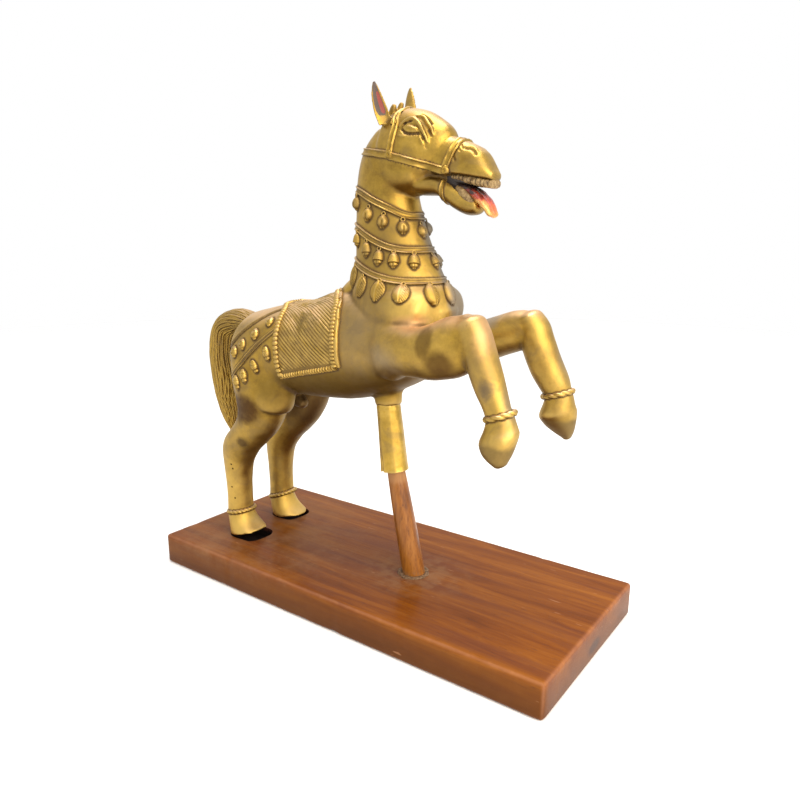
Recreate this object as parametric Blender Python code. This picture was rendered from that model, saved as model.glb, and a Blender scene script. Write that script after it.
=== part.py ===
"""A cast brass horse, reared on its hind legs over a wooden stand.

The horse is one casting: body, tail, harness, bells and saddle cloth.  It leans on a
short tube of sheet brass under its belly, which is pushed over a tapered wooden peg.
The peg is let into a plank, and the hind hooves stand over two mortises in it.

Sizes are in millimetres and become metres as the meshes are made.  X runs forward
along the horse, Z is up, and the origin is the middle of the plank's underside.
"""

from math import cos, radians, sin

import bmesh
import bpy
import numpy as np
from mathutils import Vector
from mathutils.bvhtree import BVHTree

MM = 0.001
GAP = 0.3  # clearance between pieces that touch

# ---- the stand ----
PLANK = (500.0, 216.0, 36.0)  # length, width, thickness
PLANK_EDGE = 3.0  # rounding of its edges
MORTISE_DEPTH = 13.0
MORTISE_RIGHT = (-172.5, -33.0, 23.5, 21.5)  # middle x and y, half length, half width
MORTISE_LEFT = (-179.5, 42.5, 19.5, 21.5)
PEG_SEAT = 12.0  # depth of the peg's blind hole

# ---- the post under the belly: x, z and radius at each end, in the horse's mid-plane ----
PEG_FOOT = (53.6, 24.0, 12.8)
PEG_TOP = (19.2, 184.0, 8.2)
SLEEVE_TOP = (17.0, 218.0, 12.5)
SLEEVE_FOOT = (25.0, 148.0, 14.5)
SLEEVE_WALL = 1.8

# ---- the horse ----
MID_Y = -10.0  # its mid-plane stands to the right of the plank's middle
VOXEL = 1.5  # grid on which the forms are fused into one casting
KEPT_FACES = 0.0235  # share of the fused surface that the casting keeps

# Each form is a row of oval sections: middle x, y, z, half depth, half width.
TORSO = [
    (-186, 0, 269, 28, 32), (-168, 0, 267, 44, 51), (-138, 0, 266, 51, 62),
    (-100, 0, 270, 53, 60), (-60, 0, 274, 57, 59), (-20, 0, 280, 58, 61),
    (28, 0, 292, 53, 57), (54, 0, 308, 43, 47), (72, 0, 319, 29, 35),
]
BREAST = [(24, 0, 322, 34, 45), (54, 0, 322, 35, 52), (76, 0, 321, 28, 46)]
NECK = [
    (37, 0, 312, 57, 50), (31, 0, 342, 48.5, 43), (25, 0, 372, 41.5, 34),
    (19, 0, 405, 36, 29.5), (16, 0, 432, 33, 27), (20, 0, 458, 32, 25),
    (30, 0, 476, 28, 22),
]
HEAD = [
    (22, 0, 471, 34, 25), (40, 0, 469, 40, 29), (60, 0, 467.3, 38.5, 30),
    (76, 0, 465.3, 32.5, 26), (89, 0, 460.5, 22.5, 21), (98, 0, 457.5, 17, 18),
]
MUZZLE = [
    (84, 0, 461, 20, 20), (101, 0, 460, 17.5, 19.5), (113, 0, 456, 14.8, 19),
    (124, 0, 451.5, 12, 17.5), (132, 0, 447, 8.8, 15), (138, 0, 442.5, 4.4, 11.5),
]
UPPER_TEETH = [(96, 0, 440, 4.5, 12.5), (112, 0, 438, 4.5, 13.5), (136, 0, 435, 4, 10)]
JAW = [(60, 0, 440, 11, 20), (82, 0, 433, 10.5, 16), (100, 0, 423, 9.5, 13.5), (113, 0, 417, 8, 12)]
TONGUE = [
    (94, 0, 434, 3, 8), (110, 0, 431, 3, 9), (125, 0, 421.5, 3, 9.5), (134, 0, 408.5, 2.8, 8.5),
]
FORELOCK = [(26, 0, 503, 6, 7), (31, 0, 513, 4, 4.5)]
EAR = [(31, 20, 496, 5, 7.5), (27.5, 23, 508, 5, 8), (24.5, 27, 520, 4, 6.6), (25, 28.5, 531, 2, 2.4)]
TAIL = [
    (-178, 0, 289, 12, 14), (-211, 0, 292.5, 13, 16), (-234, 0, 281, 15, 17),
    (-242, 0, 255, 16.2, 18), (-242, 0, 220, 16.2, 17.5), (-239, 0, 190, 14, 15),
    (-234.5, 0, 163, 9, 10),
]
THIGH = [
    (-146, 32, 262, 36, 29), (-141, 35, 225, 37, 28), (-150, 35, 195, 36, 25),
    (-162, 35, 173, 31, 22.5), (-174, 35, 154, 25.5, 21), (-182, 35, 138, 22, 20),
    (-185.5, 35, 118, 18.5, 17.5), (-187, 35, 90, 16.5, 16.5), (-187, 35, 58, 16.5, 16.5),
]
HIND_HOOF = [(-187, 35, 68, 16, 16), (-184, 35, 54, 18.2, 18.2), (-176.5, 36, 41, 23.3, 22)]
HIND_TILT = (0.2, 0.09)  # rise of the right and left sole to the front
PASTERN_Z = 62.0  # the tilt fades out above it
LEFT_HIND_SHIFT = (-2.0, 2.5, -2.4)  # the left sole stands this much further out
FORE_TILT = (0.4, 0.25)
# The forelegs differ: the left one is slimmer above the knee and its hoof is longer.
FOREARM_RIGHT = [
    (50, 36, 285, 34, 26), (70, 43, 286, 26, 25), (85, 47, 287, 23.5, 24),
    (105, 50.5, 289.5, 25.5, 23.5), (127, 53, 296.5, 28, 23), (143, 54, 304.5, 26.5, 20),
    (151, 54, 311, 20, 17),
]
CANNON_RIGHT = [
    (146.5, 53.5, 318.5, 13, 15), (150.5, 54, 308, 14.5, 15.5), (155.5, 54, 296, 14.6, 15.5),
    (166, 56, 269, 15.6, 16), (174, 58, 251, 14.2, 14.5), (178, 58.5, 241, 13, 13),
]
FORE_HOOF_RIGHT = [
    (178, 59, 243, 12.8, 12.8), (179.5, 59.5, 236, 14, 14), (180, 61, 227, 17.4, 17.4),
    (181.5, 64, 217, 15.8, 15.8), (184, 68, 208, 10.5, 11), (186, 71, 201, 4.5, 5),
]
FOREARM_LEFT = [
    (50, 36, 284, 32, 26), (70, 43, 284, 24, 25), (86, 47, 285, 21.5, 23),
    (103, 50.5, 289, 21, 22), (120, 53, 295, 20.5, 21), (136, 54, 301, 20, 19),
    (147, 54, 305, 18, 17),
]
CANNON_LEFT = [
    (150, 53.5, 314, 13, 15), (155, 54, 304, 15.5, 16.5), (159, 54, 292, 16.5, 17),
    (167, 56, 271, 16.8, 16.8), (176, 58, 254, 15.6, 15.8), (181, 59, 243, 13.5, 13.5),
]
FORE_HOOF_LEFT = [
    (181, 59, 243, 13, 13), (181.5, 59.5, 236, 14.5, 14.5), (180.5, 61, 225, 17.8, 17.8),
    (183, 64, 213, 16, 16), (185, 68, 202, 11, 11.5), (187.5, 71, 193.5, 4.5, 5),
]
STUB = [(10, 0, 262, 30, 30), (15, 0, 243, 19, 19), (16.3, 0, 229, 15, 15), (17, 0, 219.4, 14, 14)]
SHEATH = [(-132, 0, 216, 14, 14), (-116, 0, 207, 10, 9), (-106, 0, 202, 6, 6)]

# ---- the harness ----
STRAP = (6.4, 1.9)  # width and rise
COLLARS = [(432.5, 0.49), (398.0, 0.36), (363.0, 0.22)]  # height at x = 0, slope to the front
BELL_ROWS = [  # height at x = 0, slope, number round the neck, first angle, width, length
    (417.0, 0.36, 10, -5.0, 9.5, 13.0),
    (384.0, 0.30, 13, 0.0, 10.0, 14.0),
    (350.0, 0.20, 11, 182.0, 13.0, 18.0),
]
NECK_AXIS_X = 24.0
BELL_RISE = 3.8
# The crupper's straps and bells, as x and z on the flank.
CRUPPER_UPPER = [
    (-97, 316), (-113, 311), (-123, 305), (-133, 295), (-146, 284), (-160, 277), (-176, 272),
]
CRUPPER_LOWER = [(-92, 293), (-111, 277), (-129, 262), (-148, 248), (-166, 236)]
CRUPPER_BELLS = [
    (-110, 300), (-124, 287), (-139, 275), (-153, 265),
    (-104, 268), (-123, 253), (-139, 241), (-153, 231),
]
CRUPPER_STRAP = (5.0, 1.2)
CRUPPER_BELL = (9.0, 12.5)  # width and length
CLOTH_RISE = 1.4
CLOTH_SUNK = 3.0  # depth of its underside below the skin
CLOTH_REAR = (-103.0, -87.0)  # x of the rear edge on the back and at its lower corner
CLOTH_FRONT = (-30.0, -2.0)
CLOTH_DROP = (36.0, 18.0)  # angle of the lower edge below the horizontal, rear and front
CLOTH_AXIS_Z = 285.0
BORDER = 2.3  # radius of the roped border
# The bridle's bands round the head: middle, direction of the top, first and last angle.
NOSEBAND = ((97, 0, 452), (0.38, 0, 0.925), 0, 359)
CHEEK_STRAP = ((39, 0, 466), (0.06, 0, 1.0), -6, 186)
NAPE_BAND = ((37, 0, 465), (-1, 0, 0.15), -4, 184)
LONG_BAND = [(37, 465), (54, 460), (73, 455), (91, 450)]  # x and z along the cheek
KNOTS = [(38.0, 466.0), (92.0, 451.0)]
KNOT = (10.0, 8.0, 3.0)  # width, length and rise
EYE = (61.0, 487.0, 9.5, 4.2)  # x, z, half length, half height
BROW = [(48, 488), (53, 495), (60, 498), (67, 494), (73, 485), (78, 477)]
ANKLETS = [  # middle, radius, slope to the front
    (178.0, -59.0, 243.0, 13.6, 0.35), (180.5, 59.0, 242.0, 13.8, 0.28),
    (-187.0, -35.0, 65.0, 16.6, 0.18), (-187.0, 35.0, 65.0, 16.6, 0.18),
]
ANKLET_ROPE = 2.9


def spline(rows, steps):
    """A Catmull-Rom curve through the rows, with the steps between each two of them."""
    points = np.array(rows, float)
    ends = 2 * points[0] - points[1], 2 * points[-1] - points[-2]
    points = np.vstack([ends[0], points, ends[1]])
    curve = []
    for a, b, c, d in zip(points, points[1:], points[2:], points[3:]):
        for step in range(steps):
            t = step / steps
            bend = (2 * a - 5 * b + 4 * c - d) * t**2 + (3 * b - a - 3 * c + d) * t**3
            curve.append(0.5 * (2 * b + (c - a) * t + bend))
    return np.array(curve + [points[-2]])


def unit(vectors):
    vectors = np.asarray(vectors, float)
    return vectors / np.linalg.norm(vectors, axis=-1, keepdims=True)


def skin(rings, closed=False):
    """Faces over rings of equal length: a tube with pointed ends, or a closed ring."""
    count, around = len(rings), len(rings[0])
    faces = []
    for i in range(count if closed else count - 1):
        for j in range(around):
            a, b = i * around + j, i * around + (j + 1) % around
            shift = ((i + 1) % count) * around - i * around
            faces.append((a, b, b + shift, a + shift))
    points = np.vstack(rings)
    if not closed:
        tips = len(points), len(points) + 1
        points = np.vstack([points, np.mean(rings[0], axis=0), np.mean(rings[-1], axis=0)])
        for j in range(around):
            k = (j + 1) % around
            faces.append((tips[0], k, j))
            faces.append((tips[1], (count - 1) * around + j, (count - 1) * around + k))
    return points, faces


def tube(
    rows,
    sides=24,
    steps=4,
    dome=(0.6, 0.6),
    power=2.0,
    across=(0, 1, 0),
    upright=False,
    locks=0,
    lock_depth=0.0,
):
    """A closed form through oval sections, with domed ends and, for hair, twisted locks.

    The sections are square to the curve through their middles, or all level if upright.
    A power over 2 makes them squarer.
    """
    curve = spline(rows, steps)
    middle, depth, width = curve[:, :3], curve[:, 3], curve[:, 4]
    along = unit(np.gradient(middle, axis=0))
    if upright:
        along[:] = (0, 0, -1)
    normal = unit(np.cross(across, along))
    side = np.cross(along, normal)
    turn = np.arange(sides) * 2 * np.pi / sides
    oval = [np.sign(f(turn)) * np.abs(f(turn)) ** (2 / power) for f in (np.cos, np.sin)]

    def ring(i, size=1.0, shift=0.0):
        swell = 1.0
        if locks:
            swell = 1.0 + lock_depth * np.abs(np.sin(locks * turn / 2 + 0.06 * i)) - lock_depth / 2
        centre = middle[i] + along[i] * shift
        return (
            centre
            + np.outer(oval[0] * depth[i] * size * swell, normal[i])
            + np.outer(oval[1] * width[i] * size * swell, side[i])
        )

    domes = []
    for i, sign, height in ((0, -1, dome[0]), (-1, 1, dome[1])):
        reach = height * min(depth[i], width[i])
        angles = np.radians((88, 70, 45, 22))
        domes.append([ring(i, cos(a), sign * reach * sin(a)) for a in angles])
    rings = domes[0] + [ring(i) for i in range(len(middle))] + domes[1][::-1]
    return skin(rings)


def mirrored(rows, side):
    return [(x, side * y, z, depth, width) for x, y, z, depth, width in rows]


class Forms:
    """Closed shells gathered as one list of points and faces."""

    def __init__(self):
        self.points, self.faces = np.zeros((0, 3)), []

    def add(self, shell):
        points, faces = shell
        base = len(self.points)
        self.points = np.vstack([self.points, points])
        self.faces += [tuple(base + i for i in face) for face in faces]

    def tree(self):
        return BVHTree.FromPolygons([Vector(p) for p in self.points], self.faces)


# ---------------------------------------------------------------- the horse's body


def sloped(shell, x, slope, top=None, fade=20.0):
    """Tilts a shell's sections so that they rise to the front, fading out below the height top."""
    points, faces = shell
    share = 1.0 if top is None else np.clip((top - points[:, 2]) / fade, 0, 1)
    points[:, 2] += slope * (points[:, 0] - x) * share
    return points, faces


def leg_forms(forms, side):
    """One foreleg and one hind leg, the right ones at side -1."""
    left = side > 0
    forms.add(tube(mirrored(FOREARM_LEFT if left else FOREARM_RIGHT, side)))
    forms.add(tube(mirrored(CANNON_LEFT if left else CANNON_RIGHT, side)))
    hoof = FORE_HOOF_LEFT if left else FORE_HOOF_RIGHT
    forms.add(sloped(tube(mirrored(hoof, side), upright=True), hoof[0][0], FORE_TILT[left]))
    forms.add(tube(mirrored(THIGH, side)))
    hoof = tube(mirrored(HIND_HOOF, side), dome=(0.1, 0.02), upright=True)
    points, faces = sloped(hoof, HIND_HOOF[-1][0], HIND_TILT[left], PASTERN_Z)
    low = np.clip((PASTERN_Z - points[:, 2]) / (PASTERN_Z - HIND_HOOF[-1][2]), 0, 1) * left
    forms.add((points + np.outer(low, LEFT_HIND_SHIFT), faces))


def body_forms():
    forms = Forms()
    forms.add(tube(TORSO, sides=32, dome=(0.5, 0.4), power=2.15))
    forms.add(tube(BREAST, sides=28, dome=(0.5, 0.5)))
    forms.add(tube(NECK, sides=28))
    forms.add(tube(HEAD, sides=28, dome=(0.3, 0.5), power=2.2))
    forms.add(tube(MUZZLE, sides=28, dome=(0.2, 0.5), power=2.5))
    forms.add(tube(JAW))
    forms.add(tube(TAIL, sides=48, locks=12, lock_depth=0.16))
    forms.add(tube(STUB, dome=(0.2, 0.01)))
    forms.add(tube(SHEATH))
    for side in (-1, 1):
        leg_forms(forms, side)
    return forms


def face_forms(forms):
    """Teeth, tongue, ears and forelock, which stand free of the head."""
    forms.add(tube(UPPER_TEETH, power=2.6, dome=(0.3, 0.3)))
    forms.add(tube(TONGUE, power=2.4))
    forms.add(tube(FORELOCK))
    for side in (-1, 1):
        forms.add(tube(mirrored(EAR, side), across=(0.71, -0.7 * side, 0), dome=(0.2, 0.6)))


# ---------------------------------------------------------------- relief laid on the body


class Skin:
    """Finds points on the outside of the body."""

    def __init__(self, forms):
        self.tree = forms.tree()

    def towards(self, start, target):
        start, target = Vector(start), Vector(target)
        place, normal, _, _ = self.tree.ray_cast(start, (target - start).normalized())
        if normal.dot(target - start) > 0:
            normal = -normal
        return np.array(place), np.array(normal)

    def flank(self, x, z, side):
        return self.towards((x, side * 200, z), (x, 0, z))

    def collar(self, angle, height, slope):
        """A point on the neck, in a plane that falls to the front."""
        angle = radians(angle)
        far = NECK_AXIS_X + 200 * cos(angle)
        start = far, 200 * sin(angle), height - slope * far
        return self.towards(start, (NECK_AXIS_X, 0, height - slope * NECK_AXIS_X))


def eased(normals, closed, rounds=4):
    """Normals averaged along a path, so that a strap doesn't jump with each facet."""
    for _ in range(rounds):
        before, after = np.roll(normals, 1, axis=0), np.roll(normals, -1, axis=0)
        if not closed:
            before[0], after[-1] = normals[0], normals[-1]
        normals = unit(normals * 2 + before + after)
    return normals


def strap(path, closed=False, width=STRAP[0], rise=STRAP[1], sunk=2.0):
    """A flat band with rounded edges along a path of (place, normal)."""
    places = np.array([place for place, _ in path])
    normals = eased(np.array([normal for _, normal in path]), closed)
    if closed:
        along = unit(np.roll(places, -1, axis=0) - np.roll(places, 1, axis=0))
    else:
        along = unit(np.gradient(places, axis=0))
    side = unit(np.cross(along, normals))
    half = [(0.5, -sunk), (0.5, 0.5 * rise), (0.36, rise)]
    section = [(-u, v) for u, v in half] + half[::-1]
    rings = [
        np.array([p + s * (u * width) + n * v for u, v in section])
        for p, n, s in zip(places, normals, side)
    ]
    return skin(rings, closed)


def rope(path, radius, closed=False, lift=0.3, sides=8):
    """A round cord half sunk along a path of (place, normal)."""
    places = np.array([place for place, _ in path])
    normals = eased(np.array([normal for _, normal in path]), closed)
    if closed:
        along = unit(np.roll(places, -1, axis=0) - np.roll(places, 1, axis=0))
    else:
        along = unit(np.gradient(places, axis=0))
    side = unit(np.cross(along, normals))
    turn = np.arange(sides) * 2 * np.pi / sides
    rings = [
        p + n * lift + radius * (np.outer(np.cos(turn), s) + np.outer(np.sin(turn), n))
        for p, n, s in zip(places, normals, side)
    ]
    return skin(rings, closed)


def bell(place, normal, width, length, rise=BELL_RISE):
    """A drop hanging on the body, widest below its middle."""
    down = np.array((0.0, 0.0, -1.0))
    down = unit(down - normal * down.dot(normal))
    side = np.cross(down, normal)
    rows = []
    for share, girth in ((0.0, 0.3), (0.3, 0.75), (0.62, 1.0), (0.88, 0.8), (1.0, 0.45)):
        middle = place + down * (share - 0.5) * length + normal * 0.1 * rise
        rows.append((*middle, rise * (0.35 + 0.65 * girth), girth * width / 2))
    return tube(rows, sides=10, steps=1, dome=(0.5, 0.6), across=side)


def neck_harness(forms, body):
    for height, slope in COLLARS:
        path = [body.collar(angle, height, slope) for angle in range(0, 360, 6)]
        forms.add(strap(path, closed=True))
    for height, slope, count, first, width, length in BELL_ROWS:
        for number in range(count):
            place, normal = body.collar(first + number * 360 / count, height, slope)
            forms.add(bell(place, normal, width, length))


def arc(body, middle, up, start, stop, step=8, reach=60):
    """Points round the head in the plane of up and Y, from one angle to another."""
    up = unit(up)
    path = []
    for angle in np.arange(start, stop + 0.01, step):
        out = up * sin(radians(angle)) + np.array((0, 1, 0)) * cos(radians(angle))
        path.append(body.towards(np.array(middle) + out * reach, middle))
    return path


def bridle(forms, body):
    forms.add(strap(arc(body, *NOSEBAND), closed=True))
    forms.add(strap(arc(body, *CHEEK_STRAP)))
    forms.add(strap(arc(body, *NAPE_BAND)))
    for side in (-1, 1):
        band = [body.flank(x, z, side) for x, z in spline(LONG_BAND, 3)]
        forms.add(strap(band))
        for x, z in KNOTS:
            place, normal = body.flank(x, z, side)
            forms.add(bell(place, normal, *KNOT))


def eyes(forms, body):
    x, z, half_length, half_height = EYE
    for side in (-1, 1):
        rows = []
        for share, girth in ((-1.0, 0.12), (-0.5, 0.8), (0.0, 1.0), (0.5, 0.8), (1.0, 0.12)):
            place, _ = body.flank(x + share * half_length, z - 0.22 * share * half_length, side)
            rows.append((*place, 2.4 * girth, half_height * girth))
        forms.add(tube(rows, sides=10, steps=2, across=(0, 0, 1)))
        brow = [body.flank(bx, bz, side) for bx, bz in spline(BROW, 3)]
        forms.add(rope(brow, 1.7, lift=0.5))


def cloth_point(body, along, around, side):
    """A point of the saddle cloth: along runs rear to front, around from the back down."""
    drop = CLOTH_DROP[0] + (CLOTH_DROP[1] - CLOTH_DROP[0]) * along
    angle = radians(90 - (90 + drop) * around)
    rear = CLOTH_REAR[0] + (CLOTH_REAR[1] - CLOTH_REAR[0]) * around
    front = CLOTH_FRONT[0] + (CLOTH_FRONT[1] - CLOTH_FRONT[0]) * sin(radians(90 * around)) ** 1.1
    x = rear + (front - rear) * along
    out = np.array((0, side * cos(angle), sin(angle)))
    centre = np.array((x, 0, CLOTH_AXIS_Z))
    return body.towards(centre + out * 200, centre)


def saddle_cloth(forms, body, columns=14, rows=10):
    around = [(i / rows, -1) for i in range(rows, 0, -1)] + [(i / rows, 1) for i in range(rows + 1)]
    grid = [[cloth_point(body, c / columns, a, side) for a, side in around] for c in range(columns + 1)]
    rings = []
    for column in grid:
        upper = [place + normal * CLOTH_RISE for place, normal in column]
        under = [place - normal * CLOTH_SUNK for place, normal in column]
        rings.append(np.array(upper + under[::-1]))
    forms.add(skin(rings[::-1]))
    edges = [[column[0] for column in grid], [column[-1] for column in grid], grid[0], grid[-1]]
    for edge in edges:
        forms.add(rope(edge, BORDER, lift=0.35 * BORDER))


def crupper(forms, body):
    for side in (-1, 1):
        for line in (CRUPPER_UPPER, CRUPPER_LOWER):
            path = [body.flank(x, z, side) for x, z in spline(line, 3)]
            forms.add(strap(path, False, *CRUPPER_STRAP))
        for x, z in CRUPPER_BELLS:
            place, normal = body.flank(x, z, side)
            forms.add(bell(place, normal, *CRUPPER_BELL))


def anklets(forms):
    for x, y, z, radius, slope in ANKLETS:
        path = []
        for angle in np.radians(np.arange(0, 360, 15)):
            out = np.array((cos(angle), sin(angle), slope * cos(angle)))
            path.append((np.array((x, y, z)) + out * radius, unit(out)))
        forms.add(rope(path, ANKLET_ROPE, closed=True, lift=0.4))


# ---------------------------------------------------------------- objects


def finish(name, colour, roughness, metallic):
    material = bpy.data.materials.new(name)
    material.use_nodes = True
    shader = material.node_tree.nodes["Principled BSDF"]
    shader.inputs["Base Color"].default_value = (*colour, 1.0)
    shader.inputs["Roughness"].default_value = roughness
    shader.inputs["Metallic"].default_value = metallic
    material.diffuse_color = (*colour, 1.0)
    return material


def make_object(name, points, faces, material=None):
    mesh = bpy.data.meshes.new(name)
    mesh.from_pydata([tuple(p * MM) for p in np.asarray(points, float)], [], faces)
    work = bmesh.new()
    work.from_mesh(mesh)
    bmesh.ops.recalc_face_normals(work, faces=work.faces)
    work.to_mesh(mesh)
    work.free()
    thing = bpy.data.objects.new(name, mesh)
    bpy.context.scene.collection.objects.link(thing)
    if material:
        mesh.materials.append(material)
    return thing


def hide(cutter):
    cutter.hide_render = True
    cutter.display_type = "WIRE"
    return cutter


def cut(thing, cutter):
    modifier = thing.modifiers.new("cut by " + cutter.name, "BOOLEAN")
    modifier.operation = "DIFFERENCE"
    modifier.object = hide(cutter)


def cone(name, foot, top, material=None, grow=0.0, sides=32):
    """A tapered round bar between two (x, z, radius) stations in the mid-plane."""
    rings = []
    for x, z, radius in (foot, top):
        turn = np.arange(sides) * 2 * np.pi / sides
        radius = radius + grow
        rings.append(
            np.column_stack([x + radius * np.cos(turn), MID_Y + radius * np.sin(turn), np.full(sides, z)])
        )
    return make_object(name, *skin(rings), material)


def station(low, high, z):
    """The x, z and radius of a tapered bar at height z."""
    share = (z - low[1]) / (high[1] - low[1])
    return tuple(a + (b - a) * share for a, b in zip(low, high))


def make_horse():
    forms = body_forms()
    body = Skin(forms)
    face_forms(forms)
    neck_harness(forms, body)
    bridle(forms, body)
    eyes(forms, body)
    saddle_cloth(forms, body)
    crupper(forms, body)
    anklets(forms)
    points = forms.points + np.array((0, MID_Y, 0))
    brass = finish("cast brass", (0.55, 0.36, 0.10), 0.32, 1.0)
    horse = make_object("horse", points, forms.faces, brass)
    fuse = horse.modifiers.new("fuse the forms", "REMESH")
    fuse.mode = "VOXEL"
    fuse.voxel_size = VOXEL * MM
    soften = horse.modifiers.new("soften the joins", "SMOOTH")
    soften.factor = 0.5
    soften.iterations = 2
    thin = horse.modifiers.new("fewer faces", "DECIMATE")
    thin.ratio = KEPT_FACES
    return horse


def make_sleeve():
    """Sheet brass rolled round the peg, open at both ends."""
    brass = finish("sheet brass", (0.58, 0.40, 0.14), 0.36, 1.0)
    sleeve = cone("sleeve", SLEEVE_FOOT, SLEEVE_TOP, brass)
    reach = SLEEVE_TOP[1] - SLEEVE_FOOT[1]
    low = station(SLEEVE_FOOT, SLEEVE_TOP, SLEEVE_FOOT[1] - 0.1 * reach)
    high = station(SLEEVE_FOOT, SLEEVE_TOP, SLEEVE_TOP[1] + 0.1 * reach)
    cut(sleeve, cone("sleeve bore", low, high, grow=-SLEEVE_WALL))
    return sleeve


def make_peg():
    wood = finish("peg wood", (0.30, 0.12, 0.04), 0.45, 0.0)
    return cone("support_peg", PEG_FOOT, PEG_TOP, wood)


def mortise_cutter(name, x, y, half_length, half_width):
    """A pocket with a rounded front, following the hoof's outline."""
    top, floor = PLANK[2] + 5.0, PLANK[2] - MORTISE_DEPTH
    outline = []
    for angle in np.radians(np.arange(0, 360, 15)):
        u, v = (np.sign(f) * abs(f) ** 0.6 for f in (cos(angle), sin(angle)))
        outline.append((x + half_length * u, MID_Y + y + half_width * v))
    rings = [np.array([(u, v, z) for u, v in outline]) for z in (floor, top)]
    return make_object(name, *skin(rings))


def make_plank():
    wood = finish("varnished wood", (0.25, 0.085, 0.03), 0.38, 0.0)
    half = [size / 2 for size in PLANK]
    corners = [(x, y) for x, y in ((-1, -1), (1, -1), (1, 1), (-1, 1))]
    rings = [np.array([(x * half[0], y * half[1], z) for x, y in corners]) for z in (0, PLANK[2])]
    points = np.vstack(rings)
    faces = [(3, 2, 1, 0), (4, 5, 6, 7)] + [(i, (i + 1) % 4, 4 + (i + 1) % 4, 4 + i) for i in range(4)]
    plank = make_object("base_board", points, faces, wood)
    edge = plank.modifiers.new("rounded edges", "BEVEL")
    edge.width = PLANK_EDGE * MM
    edge.segments = 3
    cut(plank, mortise_cutter("right mortise", *MORTISE_RIGHT))
    cut(plank, mortise_cutter("left mortise", *MORTISE_LEFT))
    seat = PLANK[2] - PEG_SEAT - GAP
    low = station(PEG_FOOT, PEG_TOP, seat)
    high = station(PEG_FOOT, PEG_TOP, PLANK[2] + 5.0)
    cut(plank, cone("peg hole", low, high, grow=GAP))
    return plank


for old in list(bpy.data.objects):
    bpy.data.objects.remove(old)
make_plank()
make_peg()
make_sleeve()
make_horse()
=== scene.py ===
"""The looks of a cast brass horse that rears over its wooden stand.

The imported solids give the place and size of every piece.  Each section below makes one real
piece, or one group of like pieces: its shape, its finish and what it rides on.  Lengths are
in millimetres and become metres as a mesh is written.  X runs forward along the horse.
"""

import math

import bpy
import numpy as np
from mathutils import Matrix, Vector
from mathutils.bvhtree import BVHTree
from mathutils.kdtree import KDTree


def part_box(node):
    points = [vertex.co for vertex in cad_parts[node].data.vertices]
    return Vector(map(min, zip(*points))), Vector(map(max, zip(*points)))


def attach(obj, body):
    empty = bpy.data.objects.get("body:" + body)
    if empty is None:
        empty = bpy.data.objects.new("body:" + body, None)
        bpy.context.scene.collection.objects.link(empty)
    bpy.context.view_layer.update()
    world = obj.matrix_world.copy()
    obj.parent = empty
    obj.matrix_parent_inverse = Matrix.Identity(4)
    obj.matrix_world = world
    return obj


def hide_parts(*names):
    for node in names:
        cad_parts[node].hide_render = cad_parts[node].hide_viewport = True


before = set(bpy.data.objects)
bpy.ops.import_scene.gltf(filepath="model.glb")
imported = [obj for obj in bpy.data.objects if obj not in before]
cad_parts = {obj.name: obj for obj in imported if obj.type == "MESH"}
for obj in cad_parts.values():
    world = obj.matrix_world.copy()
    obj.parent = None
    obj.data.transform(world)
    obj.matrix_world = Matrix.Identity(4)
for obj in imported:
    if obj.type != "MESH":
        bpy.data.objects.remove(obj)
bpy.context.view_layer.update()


# ---------------------------------------------------------------- the plank
# A hardwood board, planed and rounded along its edges, under an old red-brown varnish that
# has worn through on the corners.  A sheen is painted along its edges and shade down its
# sides.  Two pockets for the hind hooves are chopped in its top and painted near black as
# the shade in them, with a drilled hole for the peg.

MM = 0.001
PLANK_LOW, PLANK_HIGH = (np.array(corner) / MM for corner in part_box("base_board"))
PLANK_TOP = PLANK_HIGH[2]
PLANK_EDGE = 3.6  # radius of its rounded edges
PLANK_CUT = 4.0  # spacing of the cuts that let the edges wear unevenly
EDGE_WEAR = (2.6, 0.25)  # how far from an edge it reaches, and how deep it goes
# The varnish is worn, and a lighter sheen is painted, up to BARE_EDGE from an edge.
BARE_EDGE = 2.2  # how far from an edge the varnish is gone
BRUISE_SHARE = 0.7  # how much of a bruise's depth is left after years of polish
MID_Y = -10.0  # the horse's mid-plane on the plank
POCKET_DEPTH = 12.6
POCKETS = [  # x, y from the mid-plane, half length and half width
    (-169.0, -33.0, 23.0, 21.2), (-176.5, 42.0, 20.6, 21.2),
]
POCKET_EDGE = 10.0  # nothing is cut nearer to the plank's sides
CHISEL_ABOVE, DRILL_ABOVE = 5.0, 4.0  # how far the cutting shapes stand out of the plank's top
PEG_SEAT = 11.4  # depth of the peg's hole
PEG_ROOM = 0.35  # room round the peg in its hole
PEG_FOOT = (53.6, 24.0, 12.8)  # x, z and radius in the mid-plane
PEG_TOP = (19.2, 184.0, 8.2)
CHIPS = [  # x, y, z, radius and depth of bruises in the arrises
    (-137.0, -108.0, 36.0, 5.5, 1.7), (-121.0, -108.0, 36.0, 3.5, 0.9), (-64.0, -108.0, 36.0, 4.0, 0.8),
    (104.0, -108.0, 36.0, 4.0, 1.0), (188.0, -108.0, 36.0, 5.0, 0.9), (250.0, 97.0, 31.0, 4.0, 1.4),
    (250.0, -108.0, 6.0, 6.0, 1.6), (-250.0, -60.0, 36.0, 6.0, 1.2), (-30.0, 108.0, 36.0, 5.0, 1.2),
    (150.0, 108.0, 36.0, 4.0, 0.9), (-250.0, -108.0, 20.0, 7.0, 1.3), (20.0, -108.0, 0.0, 6.0, 1.0),
]


def pick(*things):
    """Selects these things and no others; the first is the one that is worked on."""
    bpy.ops.object.select_all(action="DESELECT")
    for thing in things:
        thing.select_set(True)
    bpy.context.view_layer.objects.active = things[0]


def named(name):
    """The primitive that has just been added, named, with its place and size put into its mesh."""
    thing = bpy.context.object
    thing.name = thing.data.name = name
    pick(thing)
    bpy.ops.object.transform_apply(location=True, rotation=True, scale=True)
    return thing


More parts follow.
